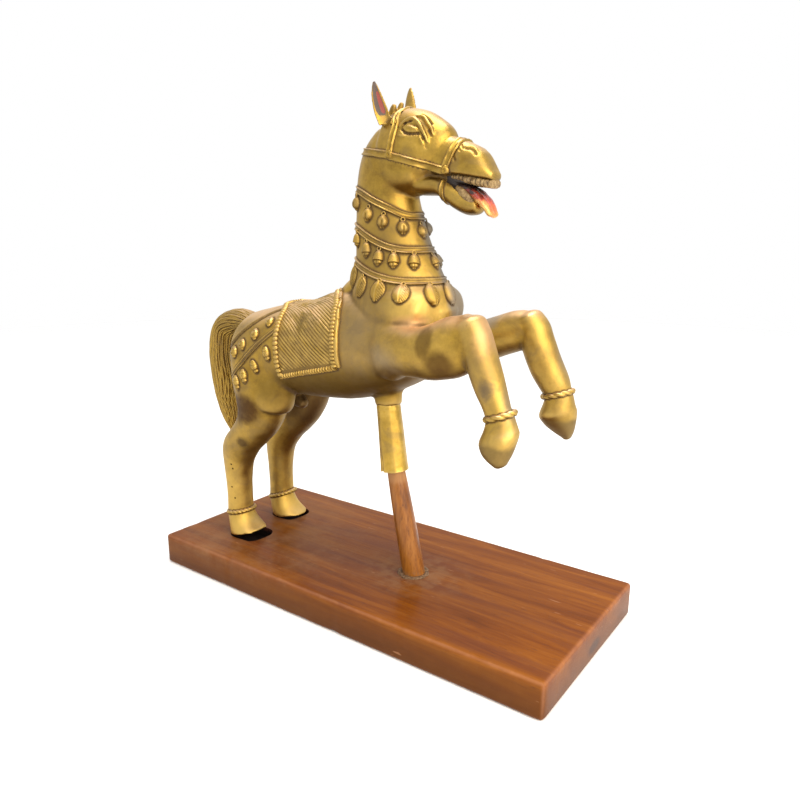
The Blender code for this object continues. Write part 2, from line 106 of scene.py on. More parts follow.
def smoothed(thing, angle=None):
    """Shades it smooth, but for the edges that turn by more than an angle, if one is given."""
    pick(thing)
    if angle:
        bpy.ops.object.shade_smooth_by_angle(angle=math.radians(angle))
    else:
        bpy.ops.object.shade_smooth()
    return thing


def points_of(thing, what="co"):
    """Its points, or their normals, as rows; points are in millimetres."""
    rows = np.empty(len(thing.data.vertices) * 3, np.float32)
    if what == "normal":
        thing.data.vertex_normals.foreach_get("vector", rows)
        return rows.reshape(-1, 3).astype(float)
    thing.data.vertices.foreach_get("co", rows)
    return rows.reshape(-1, 3) / MM


def set_points(thing, rows):
    """Puts its points where the rows say, in millimetres."""
    thing.data.vertices.foreach_set("co", (np.asarray(rows) * MM).astype(np.float32).ravel())
    thing.data.update()


def raised(thing, heights):
    """Moves each point out along its normal by its height."""
    rows = points_of(thing)
    rows += points_of(thing, "normal") * heights[:, None]
    set_points(thing, rows)


def worked(thing, kind, **settings):
    """Adds one modifier and applies it."""
    pick(thing)
    modifier = thing.modifiers.new(kind.lower(), kind)
    for name, value in settings.items():
        setattr(modifier, name, value)
    bpy.ops.object.modifier_apply(modifier=modifier.name)
    return thing


def cut_away(thing, tool):
    """Cuts a tool's shape out of it, and throws the tool away."""
    worked(thing, "BOOLEAN", operation="DIFFERENCE", object=tool, solver="EXACT")
    bpy.data.objects.remove(tool)


def sliced(thing, axis, cuts):
    """Cuts rings round it, square to an axis, so that it can be shaped along its length."""
    pick(thing)
    bpy.ops.object.mode_set(mode="EDIT")
    for cut in cuts:
        bpy.ops.mesh.select_all(action="SELECT")
        bpy.ops.mesh.bisect(plane_co=np.eye(3)[axis] * cut, plane_no=np.eye(3)[axis])
    bpy.ops.object.mode_set(mode="OBJECT")


def rounded(thing, radius, segments):
    """Rounds off its sharp edges."""
    pick(thing)
    bpy.ops.object.mode_set(mode="EDIT")
    bpy.ops.mesh.select_mode(type="EDGE")
    bpy.ops.mesh.select_all(action="DESELECT")
    bpy.ops.mesh.edges_select_sharp(sharpness=math.radians(60))
    bpy.ops.mesh.bevel(offset=radius, segments=segments, affect="EDGES")
    bpy.ops.object.mode_set(mode="OBJECT")


def squared(turn, power):
    """The cosine and sine of each turn, pushed out to the corners of a square by a power under 1."""
    return [np.sign(f) * np.abs(f) ** power for f in (np.cos(turn), np.sin(turn))]


def unit(vectors):
    """The same directions with a length of 1."""
    vectors = np.asarray(vectors, float)
    return vectors / np.linalg.norm(vectors, axis=-1, keepdims=True)


def unevenness(rows, pitch, seed, waves=9):
    """A smooth random height at each point, about -1 to 1, with humps about a pitch apart."""
    draw = np.random.default_rng(seed)
    ways = unit(draw.normal(size=(waves, 3)))
    steps = ways * draw.uniform(0.7, 1.4, (waves, 1)) * 2 * np.pi / pitch
    return np.sin(rows @ steps.T + draw.uniform(0, 2 * np.pi, waves)).sum(axis=1) / math.sqrt(waves)


class Wire:
    """A socket of a finish, so that masks are written as sums."""

    def __init__(self, finish, socket):
        self.finish, self.socket = finish, socket

    def sum(self, operation, *values):
        """One step of arithmetic."""
        return self.finish.node("ShaderNodeMath", {"operation": operation}, values)

    def __add__(self, other):
        return self.sum("ADD", self, other)

    def __sub__(self, other):
        return self.sum("SUBTRACT", self, other)

    def __rsub__(self, other):
        return self.sum("SUBTRACT", other, self)

    def __mul__(self, other):
        return self.sum("MULTIPLY", self, other)

    def __truediv__(self, other):
        return self.sum("DIVIDE", self, other)

    def __abs__(self):
        return self.sum("ABSOLUTE", self)

    __radd__ = __add__


class Finish:
    """A material under construction; most calls add nodes and hand back the last one's result."""

    def __init__(self, name, **constants):
        self.material = bpy.data.materials.new(name)
        self.material.use_nodes = True
        self.tree = self.material.node_tree
        self.shader = self.tree.nodes["Principled BSDF"]
        for socket, value in constants.items():
            self.shader.inputs[socket.replace("_", " ")].default_value = value
        self.place = self.node("ShaderNodeTexCoord", {}, {}, "Object")

    def node(self, kind, settings, sockets, result=0):
        """A new node; its sockets are fed by name or, from a list, in their order."""
        made = self.tree.nodes.new(kind)
        for name, value in settings.items():
            if name == "stops":
                self.set_stops(made.color_ramp, value)
            else:
                setattr(made, name, value)
        for name, value in sockets.items() if isinstance(sockets, dict) else enumerate(sockets):
            self.feed(made.inputs[name], value)
        return Wire(self, made.outputs[result])

    def feed(self, socket, value):
        """Links a wire to a socket, or sets its value."""
        if isinstance(value, Wire):
            self.tree.links.new(value.socket, socket)
        elif isinstance(value, tuple) and len(value) == 3 and socket.type == "RGBA":
            socket.default_value = (*value, 1.0)
        else:
            socket.default_value = value

    def set_stops(self, ramp, stops):
        while len(ramp.elements) < len(stops):
            ramp.elements.new(1.0)
        for element, (place, colour) in zip(ramp.elements, stops):
            element.position = place
            element.color = (*colour, 1.0)

    def scaled(self, scale, turn=(0, 0, 0), shift=(0, 0, 0)):
        """The place in metres, stretched and then turned."""
        sockets = {"Vector": self.place, "Scale": scale, "Rotation": turn, "Location": shift}
        return self.node("ShaderNodeMapping", {}, sockets)

    def part(self, axis, vector=None):
        """One part of the place, or of another vector."""
        return self.node("ShaderNodeSeparateXYZ", {}, [vector or self.place], axis)

    def vector(self, operation, *values, result=0):
        return self.node("ShaderNodeVectorMath", {"operation": operation}, values, result)

    def noise(self, scale, detail=3.0, rough=0.55, at=None, warp=0.0):
        sockets = {"Vector": at or self.place, "Scale": scale, "Detail": detail, "Roughness": rough}
        return self.node("ShaderNodeTexNoise", {}, {**sockets, "Distortion": warp})

    def between(self, value, low, high):
        """0 below low, 1 above high and smooth between them."""
        sockets = {"Value": value, "From Min": low, "From Max": high}
        return self.node("ShaderNodeMapRange", {"interpolation_type": "SMOOTHSTEP"}, sockets)

    def mix(self, share, first, second):
        settings = {"data_type": "RGBA", "blend_type": "MIX"}
        return self.node("ShaderNodeMix", settings, {0: share, 6: first, 7: second}, 2)

    def ramp(self, value, stops):
        return self.node("ShaderNodeValToRGB", {"stops": stops}, {"Fac": value})

    def spot(self, centre, radii, wobble, edge):
        """1 inside an oval round a centre in millimetres, with an uneven edge."""
        away = self.vector("SUBTRACT", self.place, tuple(c * MM for c in centre))
        away = self.vector("MULTIPLY", away, tuple(1 / (r * MM) for r in radii))
        size = self.vector("LENGTH", away, result="Value")
        if wobble:
            size = size + (self.noise(2.2 / (min(radii) * MM), 3.0) - 0.5) * wobble
        return 1.0 - self.between(size, 1.0 - edge, 1.0 + edge)

    def attribute(self, name):
        return self.node("ShaderNodeAttribute", {"attribute_name": name}, {}, "Fac")

    def bump(self, height, distance, strength, before=None):
        sockets = {"Height": height, "Distance": distance * MM, "Strength": strength}
        if before:
            sockets["Normal"] = before
        return self.node("ShaderNodeBump", {}, sockets)

    def done(self, **sockets):
        """Feeds the finished shader, and hands back the material."""
        for name, value in sockets.items():
            self.feed(self.shader.inputs[name.replace("_", " ")], value)
        return self.material


def mark(thing, name, values):
    """Keeps a number from 0 to 1 for each point of the mesh, which the finish reads."""
    layer = thing.data.attributes.get(name) or thing.data.attributes.new(name, "FLOAT", "POINT")
    layer.data.foreach_set("value", np.clip(values, 0, 1).astype(np.float32))


def varnished_wood():
    """Old varnish on grain that runs along the plank, with painted shade down its sides and a painted sheen
    on its edges and over the rear of its top.
    """
    wood = Finish("varnished_wood", Coat_Roughness=0.16, Coat_IOR=1.45, Specular_IOR_Level=0.06)
    grain = wood.scaled((2.2, 26.0, 26.0))
    broad = wood.noise(2.6, 4.0, 0.6, grain, 0.6)
    fine = wood.noise(13.0, 5.0, 0.7, wood.scaled((1.6, 34.0, 34.0)), 0.2)
    pores = wood.between(wood.noise(60.0, 2.0, 0.6, wood.scaled((1.3, 22.0, 22.0))), 0.60, 0.72)
    tone = broad * 0.74 + fine * 0.26
    colour = wood.ramp(tone, [
        (0.30, (0.085, 0.020, 0.001)), (0.44, (0.150, 0.038, 0.002)),
        (0.55, (0.200, 0.057, 0.003)), (0.70, (0.265, 0.086, 0.007)),
    ])
    board = wood.scaled((1.5, 20.0, 5.0), shift=(0.3, 0.1, 0))
    streak = wood.between(wood.noise(1.5, 3.0, 0.5, board), 0.53, 0.66)
    colour = wood.mix(streak * 0.45, colour, (0.110, 0.030, 0.012))
    colour = wood.mix(pores * 0.5, colour, (0.050, 0.014, 0.006))
    # Painted shade: the sides are darker than the top, most of all at the foot.
    side = 1.0 - wood.between(wood.part("Z"), 0.026, 0.034)
    colour = wood.mix(side * 0.62, colour, (0.100, 0.030, 0.002))
    foot = 1.0 - wood.between(wood.part("Z"), 0.004, 0.026)
    colour = wood.mix(foot * 0.45, colour, (0.052, 0.015, 0.001))
    knot = wood.spot((250, 5, 14), (20, 14, 6), 0.5, 0.4)
    colour = wood.mix(knot * 0.85, colour, (0.035, 0.012, 0.006))
    # Painted highlight: a lighter pink sheen runs along the rounded edges; in patches there the varnish is
    # worn through to orange.
    colour = wood.mix(wood.attribute("worn") * 0.55, colour, (0.440, 0.225, 0.150))
    worn = wood.attribute("worn") * wood.between(wood.noise(90.0, 4.0, 0.7), 0.46, 0.66)
    colour = wood.mix(worn * 0.35, colour, (0.480, 0.210, 0.080))
    # Painted sheen: a grey bloom lies over the rear of the top, where the varnish faces the sky at a low
    # angle, and dust lies round the peg.  Both dull the varnish.
    clouds = wood.between(wood.noise(24.0, 4.0, 0.65), 0.30, 0.70)
    bloom = wood.spot((-180, -30, 36), (125, 120, 15), 0.9, 0.7) * clouds
    clouds = wood.between(wood.noise(60.0, 3.0), 0.35, 0.65)
    dust_and_sheen = bloom * 0.60 + wood.spot((50, MID_Y, 36), (46, 38, 20), 0.8, 0.8) * clouds * 0.62
    colour = wood.mix(dust_and_sheen, colour, (0.250, 0.134, 0.070))
    line = wood.noise(5.0, 1.0, 0.4, wood.scaled((9.0, 75.0, 60.0), turn=(0, 0, 0.35)))
    scratch = wood.between(line, 0.765, 0.79)
    colour = wood.mix(scratch * 0.40, colour, (0.45, 0.22, 0.11))
    rough = 0.30 + dust_and_sheen * 0.35 + worn * 0.2 + wood.noise(30.0, 3.0) * 0.12
    height = fine * 0.5 - pores * 0.6 - scratch * 0.5
    return wood.done(
        Base_Color=colour, Roughness=rough, Coat_Weight=0.10 - dust_and_sheen * 0.15 - worn * 0.05,
        Normal=wood.bump(height, 0.22, 0.35, wood.bump(wood.noise(11.0, 2.0), 0.8, 0.25)),
    )


def pocket_shade_wood():
    """Raw wood in the pockets, painted near black as the shade inside them, lighter at the lip."""
    wood = Finish("pocket_shade_wood", Specular_IOR_Level=0.15)
    lip = wood.between(wood.part("Z"), 0.029, 0.036) * wood.between(wood.noise(120.0, 3.0), 0.3, 0.6)
    fibres = wood.noise(30.0, 4.0, 0.6, wood.scaled((2.0, 10.0, 10.0)))
    dark = wood.ramp(fibres, [(0.3, (0.004, 0.002, 0.002)), (0.7, (0.016, 0.007, 0.004))])
    return wood.done(
        Base_Color=wood.mix(lip * 0.6, dark, (0.13, 0.03, 0.014)), Roughness=0.85 - lip * 0.3,
        Normal=wood.bump(fibres, 0.8, 0.7),
    )


plank_middle, plank_size = (PLANK_LOW + PLANK_HIGH) / 2, PLANK_HIGH - PLANK_LOW
bpy.ops.mesh.primitive_cube_add(size=1, location=plank_middle * MM, scale=plank_size * MM)
plank = named("plank")
for axis, spacing in ((0, PLANK_CUT), (1, 3 * PLANK_CUT)):
    cuts = np.arange(PLANK_LOW[axis] + 2 * PLANK_EDGE, PLANK_HIGH[axis] - PLANK_EDGE, spacing)
    sliced(plank, axis, cuts * MM)
rounded(plank, PLANK_EDGE * MM, 5)


def near_edge(rows, reach):
    """1 on the plank's edges, fading to 0 at some distance from them."""
    from_edge = np.sort(plank_size / 2 - np.abs(rows - plank_middle), axis=1)[:, 1]
    return np.exp(-(from_edge / reach) ** 2)


rows = points_of(plank)
wear = np.clip(0.35 + 0.4 * unevenness(rows, 46, 1) + 0.3 * unevenness(rows, 15, 2), 0, 1.2)
bruise = np.zeros(len(rows))
for x, y, z, radius, depth in CHIPS:
    away = np.linalg.norm(rows - (x, y, z), axis=1)
    bruise = np.maximum(bruise, depth * np.exp(-(away / radius) ** 4))
raised(plank, -(near_edge(rows, EDGE_WEAR[0]) * wear * EDGE_WEAR[1] + bruise * BRUISE_SHARE))

for x, y, half_length, half_width in POCKETS:
    bpy.ops.mesh.primitive_cylinder_add(vertices=40, radius=1, depth=2)
    chisel = named("pocket chisel")
    rows = points_of(chisel) * MM
    turn = np.arctan2(rows[:, 1], rows[:, 0])
    chopped = 1 + 0.016 * unevenness(rows * 60, 40, 5)
    ahead, aside = (out * chopped for out in squared(turn, 0.6))
    rise = PLANK_TOP - POCKET_DEPTH + (rows[:, 2] > 0) * (POCKET_DEPTH + CHISEL_ABOVE)
    set_points(chisel, np.column_stack([x + half_length * ahead, MID_Y + y + half_width * aside, rise]))
    cut_away(plank, chisel)

peg_slope = (PEG_TOP[0] - PEG_FOOT[0]) / (PEG_TOP[1] - PEG_FOOT[1])
bpy.ops.mesh.primitive_cylinder_add(vertices=40, radius=1, depth=2)
drill = named("peg drill")
rows = points_of(drill) * MM
level = PLANK_TOP - PEG_SEAT + (rows[:, 2] > 0) * (PEG_SEAT + DRILL_ABOVE)
rows[:, 0] = PEG_FOOT[0] + (level - PEG_FOOT[1]) * peg_slope + rows[:, 0] * (PEG_FOOT[2] + PEG_ROOM)
rows[:, 1] = MID_Y + rows[:, 1] * (PEG_FOOT[2] + PEG_ROOM)
rows[:, 2] = level
set_points(drill, rows)
cut_away(plank, drill)

mark(plank, "worn", 0.6 * near_edge(points_of(plank), BARE_EDGE))
plank.data.materials.append(varnished_wood())
plank.data.materials.append(pocket_shade_wood())
# Faces well inside the board and below its top are the cut walls and floors.
for face in plank.data.polygons:
    middle = np.array(face.center) / MM
    inside = np.all(np.abs(middle - plank_middle)[:2] < plank_size[:2] / 2 - POCKET_EDGE)
    face.material_index = int(inside and 5 < middle[2] < PLANK_TOP - 0.2)
smoothed(plank, 35)


def dress(piece, node, finish=None):
    """Gives a finished piece its material, its body and the solid that it stands for."""
    if finish:
        piece.data.materials.clear()
        piece.data.materials.append(finish)
    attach(piece, "root")
    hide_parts(node)


dress(plank, "base_board")


# ---------------------------------------------------------------- the peg
# A turned hardwood peg, thicker at its foot, oiled and darker than its bare upper end.  It
# leans back from a hole in the plank, where old glue and dust have gathered round it.

PEG_RINGS = 46
PEG_SIDES = 48
PEG_SWELL = 1.2  # how much fuller it is halfway up
PEG_SHAVED = 0.4  # how much thinner it is than its cone all along, to leave room for its facets


def peg_wood():
    """Oiled wood with its grain along the peg, bare near its top and dusty at its foot."""
    wood = Finish("peg_wood", Coat_Roughness=0.25, Specular_IOR_Level=0.22)
    lean = wood.scaled((30.0, 30.0, 2.6), turn=(0, -math.atan(peg_slope), 0))
    broad = wood.noise(2.8, 4.0, 0.6, lean, 0.5)
    fine = wood.noise(14.0, 5.0, 0.7, lean)
    pores = wood.between(wood.noise(40.0, 2.0, 0.6, wood.scaled((26.0, 26.0, 1.6))), 0.60, 0.72)
    colour = wood.ramp(broad * 0.6 + fine * 0.4, [
        (0.32, (0.080, 0.023, 0.003)), (0.47, (0.190, 0.060, 0.006)),
        (0.58, (0.280, 0.098, 0.011)), (0.72, (0.380, 0.155, 0.025)),
    ])
    colour = wood.mix(pores * 0.6, colour, (0.055, 0.016, 0.006))
    high = wood.part("Z") + (broad - 0.5) * 0.012
    bare = wood.between(high, 0.134, 0.142)
    colour = wood.mix(bare * 0.55, colour, (0.400, 0.215, 0.095))
    dusty = (1.0 - wood.between(high, 0.036, 0.046)) * wood.between(wood.noise(150.0), 0.35, 0.6)
    colour = wood.mix(dusty * 0.7, colour, (0.200, 0.125, 0.070))
    return wood.done(
        Base_Color=colour, Roughness=0.36 + bare * 0.25 + dusty * 0.3,
        Coat_Weight=0.25 - bare * 0.2 - dusty * 0.2, Normal=wood.bump(fine - pores * 0.8, 0.3, 0.5),
    )


bpy.ops.mesh.primitive_cylinder_add(vertices=PEG_SIDES, radius=1, depth=2)
peg = named("peg")
sliced(peg, 2, np.linspace(-1, 1, PEG_RINGS + 1)[1:-1])
rounded(peg, 0.03, 2)
rows = points_of(peg) * MM
share = (rows[:, 2] + 1) / 2
turn = np.arctan2(rows[:, 1], rows[:, 0])
facet = 0.12 * np.cos(7 * turn + 2 * share) + 0.10 * np.cos(4 * turn - 3 * share)
swell = PEG_SWELL * np.sin(np.pi * share)
radius = PEG_FOOT[2] + (PEG_TOP[2] - PEG_FOOT[2]) * share + swell + facet - PEG_SHAVED
radius = radius * np.hypot(rows[:, 0], rows[:, 1])
rows[:, 0] = PEG_FOOT[0] + (PEG_TOP[0] - PEG_FOOT[0]) * share + radius * np.cos(turn)
rows[:, 1] = MID_Y + radius * np.sin(turn)
rows[:, 2] = PLANK_TOP - PEG_SEAT + 0.2 + (PEG_TOP[1] - PLANK_TOP + PEG_SEAT - 0.2) * share
set_points(peg, rows)
smoothed(peg, 35)
dress(peg, "support_peg", peg_wood())

# The ring of dried glue and dust round the peg's foot.
GLUE_RING = (13.9, 2.3)  # radius of its middle, and how far it spreads
GLUE_COLOURS = [(0.35, (0.055, 0.028, 0.014)), (0.6, (0.210, 0.120, 0.060)), (0.75, (0.36, 0.24, 0.14))]
bpy.ops.mesh.primitive_torus_add(major_segments=64, minor_segments=10, major_radius=1, minor_radius=0.2)
glue = named("glue_ring")
rows = points_of(glue) * MM
turn = np.arctan2(rows[:, 1], rows[:, 0])
around = np.column_stack([np.cos(turn), np.sin(turn), 0 * turn])
swell = 1 + 0.22 * unevenness(around * 14, 9, 11) + 0.12 * unevenness(around * 14, 3.5, 12)
out = (np.hypot(rows[:, 0], rows[:, 1]) - 1) / 0.2
reach = GLUE_RING[0] + out * GLUE_RING[1] * 1.5 * swell
peg_x = PEG_FOOT[0] + (PLANK_TOP - PEG_FOOT[1]) * peg_slope
rows[:, 2] = PLANK_TOP + 0.1 + rows[:, 2] / 0.2 * 1.15 * swell
rows[:, 0], rows[:, 1] = peg_x + reach * np.cos(turn), MID_Y + reach * np.sin(turn)
set_points(glue, rows)
smoothed(glue)
dried = Finish("dried_glue", Specular_IOR_Level=0.3)
grit = dried.noise(500.0, 4.0, 0.7)
dried.done(Base_Color=dried.ramp(grit, GLUE_COLOURS), Roughness=0.75, Normal=dried.bump(grit, 0.5, 0.8))
glue.data.materials.append(dried.material)
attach(glue, "root")


# ---------------------------------------------------------------- the horse's body
# The horse is one hollow casting, its thick places filed and rubbed smooth by hand.  Its body
# is drawn out here as oval forms, which are run together and smoothed like the wax it was
# cast from; the head is a finer piece that meets it under the top collar.

SKIN_GRID = 1.78  # spacing of the body's surface
TORSO = [  # each section's middle x, y, z, half depth and half width
    (-186, 0, 267, 27, 32), (-168, 0, 264.5, 41.5, 51), (-138, 0, 263.3, 48.3, 62), (-100, 0, 268, 51, 60),
    (-60, 0, 272, 54.6, 59), (-20, 0, 280.3, 57.7, 61), (28, 0, 291.2, 52.2, 57), (54, 0, 308, 43, 47),
    (72, 0, 319, 29, 35),
]
WITHERS = [
    (-58, 0, 316, 14, 22), (-42, 0, 319.5, 14.5, 22), (-30, 0, 325, 16, 22), (-18, 0, 334, 17, 23),
    (-4, 0, 344, 17, 24),
]
BREAST = [(24, 0, 322, 34, 45), (54, 0, 322, 35, 52), (76, 0, 321, 28, 46)]
NECK = [
    (35.5, 0, 312, 59, 50), (30, 0, 342, 49.8, 43.6), (24.6, 0, 372, 42, 34), (19, 0, 405, 36, 29.5),
    (16, 0, 432, 33, 27), (20, 0, 458, 32, 25), (30, 0, 476, 28, 22),
]
STUB = [(10, 0, 262, 30, 30), (13.5, 0, 243, 22.5, 21), (16, 0, 231, 16, 15.4), (17, 0, 219.4, 14, 14)]
SHEATH = [(-132, 0, 216, 14, 14), (-116, 0, 207, 10, 9), (-106, 0, 202, 6, 6)]
THIGH = [
    (-145, 32, 262, 35, 29), (-138.5, 35, 228, 36.5, 28), (-137, 35, 206, 33, 26.5),
    (-140, 35, 190, 30.5, 24.5), (-150.5, 35, 174, 31, 22.5), (-165.5, 35, 159, 31, 21),
    (-176.8, 35, 145, 26, 19.7), (-182.2, 35, 130, 20, 17.8), (-184, 35, 114, 17, 16.4),
    (-184.6, 35, 90, 15.4, 15.5), (-184.4, 35, 58, 15.4, 15.5),
]
STIFLE = [
    (-124, 37, 258, 22, 17), (-119, 38, 240, 31, 21), (-117, 38, 220, 34, 22.5), (-119, 38, 207, 31, 21),
]
STIFLE_SHIFT = (-5, -16)  # of the right and left one
HIND_HOOF = [(-185, 35, 68, 15.2, 15.4), (-181.6, 35, 54, 17.4, 18.2), (-174.2, 36, 41, 22, 22)]
HIND_TILT = (0.2, 0.09)  # rise of the right and left sole to the front
PASTERN_Z = 62.0  # the hind hoof is tilted below this height
HIND_SHIFT = [(4.5, 0, 0), (0.6, 2.5, -2.4)]  # of the right and left sole
FORE_TILT = (0.4, 0.25)  # rise of the right and left fore hoof to the front
# The forearms, cannons and fore hooves differ, so the tables hold the right and then the left one.
FOREARM = (
    [(50, 36, 286.5, 32, 26), (70, 43, 287.2, 24.8, 25), (85, 47, 287, 23.5, 24),
     (105, 50.5, 289.5, 25.5, 23.3), (125, 52, 296, 27.5, 20.5), (141, 52.5, 304, 25.5, 16.5),
     (150, 53, 311, 20, 15)],
    [(50, 36, 284, 32, 26), (70, 43, 284, 24, 25), (86, 47, 285, 21.5, 23), (103, 50.5, 289, 21, 22),
     (120, 53, 295, 20.5, 21), (136, 54, 301, 20, 19), (147, 54, 305, 18, 17)],
)
CANNON = (
    [(146.5, 53.5, 318.5, 13, 15.4), (150.5, 54, 308, 14.5, 16.6), (155, 54, 296, 14.2, 16.4),
     (166, 56, 270, 13.8, 15), (175.5, 58, 251, 12.2, 12.6), (179, 58.5, 241, 11.8, 11.8)],
    [(150, 53.5, 314, 13, 15), (155, 54, 304, 15.5, 16.5), (159, 54, 292, 16.5, 17),
     (167, 56, 271, 16.8, 16.8), (176, 58, 254, 15.6, 15.8), (181, 59, 243, 13.5, 13.5)],
)
FORE_HOOF = (
    [(179.5, 59, 243, 11.8, 11.8), (180, 59.5, 236, 13.6, 13.6), (180, 60.5, 228, 16.6, 16.6),
     (181, 61.5, 224, 17.6, 17.6), (181.6, 62.3, 221, 17.2, 17.2), (183, 64.5, 214, 14.8, 14.8),
     (185.4, 67, 206.5, 10.6, 10.8), (187.4, 69, 202, 6.6, 6.8)],
    [(181, 59, 243, 13, 13), (181.5, 59.5, 236, 14.5, 14.5), (180.5, 60.5, 227.5, 17, 17),
     (180.5, 61.5, 222.5, 18.4, 18.4), (181, 62.5, 219, 17.9, 17.9), (183.5, 65, 210, 14.6, 14.6),
     (186, 68.5, 201, 9.6, 10), (188, 71, 194, 4.5, 5)],
)
# Where the wax was worked smooth: middles and radii.
SOFT_PLACES = [
    ((46, -58, 283), (30, 24, 46)), ((46, 58, 283), (30, 24, 46)), ((74, 40, 300), (26, 16, 24)),
    ((74, -40, 300), (26, 16, 24)), ((-166, 0, 275), (20, 50, 40)), ((30, 0, 250), (26, 34, 22)),
    ((118, -52, 320), (26, 22, 16)), ((-112, -56, 250), (46, 26, 32)), ((-124, 56, 246), (46, 26, 34)),
    ((-146, -60, 222), (18, 20, 26)),
]
# The crupper's upper line, as x and z.
CRUPPER_UPPER = [(-97, 317), (-113, 311), (-123, 305), (-133, 297), (-146, 287), (-160, 276), (-176, 266)]
UNDER_SHADE, GREY_REFLECTION, PINK_HIGHLIGHT = (0.090, 0.052, 0.014), (0.205, 0.158, 0.108), (0.660, 0.400, 0.220)
GOLD_HIGHLIGHT, SILVER, UMBER = (0.740, 0.500, 0.135), (0.290, 0.245, 0.188), (0.095, 0.048, 0.015)
SHADE, DARK_BRASS, PEWTER = (0.110, 0.064, 0.014), (0.205, 0.137, 0.048), (0.205, 0.178, 0.138)
LEG_SHADE, CLAY, SOOT = (0.110, 0.064, 0.026), (0.150, 0.110, 0.070), (0.020, 0.010, 0.005)
# Old tarnish and polish bloom, with painted highlights, reflections and shade: middle, radii, colour,
# strength, and how uneven and soft its edge is.
FRONT_STAINS_AND_LIGHT = [
    ((84, 30, 332), (44, 33, 44), SILVER, 0.85, 0.3, 0.14),
    # Painted reflection: cool grey down the far side of the neck's front.
    ((56, 17, 392), (32, 21, 62), PEWTER, 0.90, 0.25, 0.25),
]
BODY_STAINS_AND_LIGHT = [
    # Painted highlight: a broad gold patch on the chest.
    ((82, -32, 328), (30, 28, 17), GOLD_HIGHLIGHT, 0.65, 0.6, 0.8),
    ((-62, -48, 231), (58, 46, 23), SHADE, 0.85, 0.3, 0.6),
    ((4, -48, 243), (56, 46, 23), SHADE, 0.85, 0.3, 0.6),
    # Painted highlights on both hind hooves.
    ((-175, -38, 46), (24, 30, 15), GOLD_HIGHLIGHT, 0.70, 0.4, 0.6),
    ((-174, 38, 46), (24, 30, 15), GOLD_HIGHLIGHT, 0.60, 0.4, 0.6),
    ((181, -64, 200), (32, 32, 24), DARK_BRASS, 0.92, 0.15, 0.12),
    ((181, 66, 198), (32, 32, 24), DARK_BRASS, 0.92, 0.15, 0.12),
    # Painted pink highlights along the tops of both forearms and on the near knee.
    ((92, -50, 313.5), (25, 18, 6), PINK_HIGHLIGHT, 0.80, 0.3, 0.8),
    ((128, -50, 321.5), (27, 18, 6.5), PINK_HIGHLIGHT, 0.80, 0.3, 0.8),
    ((162, -54, 309), (7, 14, 18), PINK_HIGHLIGHT, 0.60, 0.3, 0.8),
    ((140, 52, 324), (34, 18, 6), PINK_HIGHLIGHT, 0.50, 0.3, 0.8),
    # Painted shade in the crease between the near forearm and the chest.
    ((78, -37, 311), (15, 8, 2.0), UMBER, 0.45, 0.2, 0.7),
    ((100, -37, 317.5), (13, 8, 2.0), UMBER, 0.45, 0.2, 0.7),
    ((108, -72, 303), (8.5, 14, 16), UMBER, 0.62, 0.35, 0.30),
    ((124, -70, 283), (13, 18, 12), UMBER, 0.80, 0.3, 0.42),
    # A dark brown stain on the near thigh, with painted shade under its rim.
    ((-141, -60, 202), (22, 22, 17), UMBER, 0.95, 0.4, 0.35),
    ((-161, -46, 200), (15, 26, 19), UMBER, 0.85, 0.4, 0.5),
    ((171, -71, 266), (6, 10, 9), CLAY, 0.75, 0.9, 0.7),
    ((-154, -53, 159), (7, 12, 6.5), (0.085, 0.050, 0.020), 0.9, 0.5, 0.6),
    # Painted grey reflections on the near shoulder and forearm.
    ((18, -56, 305), (28, 20, 36), GREY_REFLECTION, 0.60, 0.9, 0.9),
    ((58, -62, 281), (17, 14, 11), SILVER, 0.42, 0.6, 0.95),
    # The front stains, and painted shade over the near side of the neck between the collars.
    *FRONT_STAINS_AND_LIGHT, ((40, -36, 376), (34, 24, 62), DARK_BRASS, 0.42, 0.6, 0.9),
    # Painted highlight on the near hind cannon.
    ((-188, -48, 96), (16, 14, 44), GOLD_HIGHLIGHT, 0.40, 0.5, 0.8),
    # Painted grey reflections down the fronts of the fore cannons.
    ((190, -55, 262), (7, 12, 30), SILVER, 0.50, 0.5, 0.6),
    ((184, 64, 270), (8, 12, 30), SILVER, 0.45, 0.5, 0.6),
    ((-168, -22, 45), (9, 14, 12), SILVER, 0.6, 0.5, 0.7),
    ((-99, -30, 313.5), (4, 12, 2.4), (0.03, 0.016, 0.006), 0.9, 0.4, 0.5),
    # Painted shade between the hind legs, round the sheath.
    ((-114, 12, 198), (46, 34, 32), LEG_SHADE, 0.90, 0.7, 0.40),
    ((-178, -52, 127.6), (1.1, 4, 1.1), SOOT, 1.0, 0, 0.3),
    ((-177, -52, 122), (1.0, 4, 1.3), SOOT, 1.0, 0, 0.3),
    ((-181, -51, 98), (1.3, 4, 0.9), SOOT, 0.9, 0, 0.3),
    ((-178, -51, 84), (1.2, 4, 1.3), SOOT, 1.0, 0, 0.3),
]


def spline(rows, steps):
    """A Catmull-Rom curve through the rows, with the steps between each two of them."""
    rows = np.array(rows, float)
    rows = np.vstack([2 * rows[:1] - rows[1:2], rows, 2 * rows[-1:] - rows[-2:-1]])
    curve = []
    for a, b, c, d in zip(rows, rows[1:], rows[2:], rows[3:]):
        for t in np.arange(steps) / steps:
            bend = (2 * a - 5 * b + 4 * c - d) * t**2 + (3 * b - a - 3 * c + d) * t**3
            curve.append(0.5 * (2 * b + (c - a) * t + bend))
    return np.array(curve + [rows[-2]])


DOME_STEPS = np.radians((88, 66, 44, 22))  # the rings that close each end


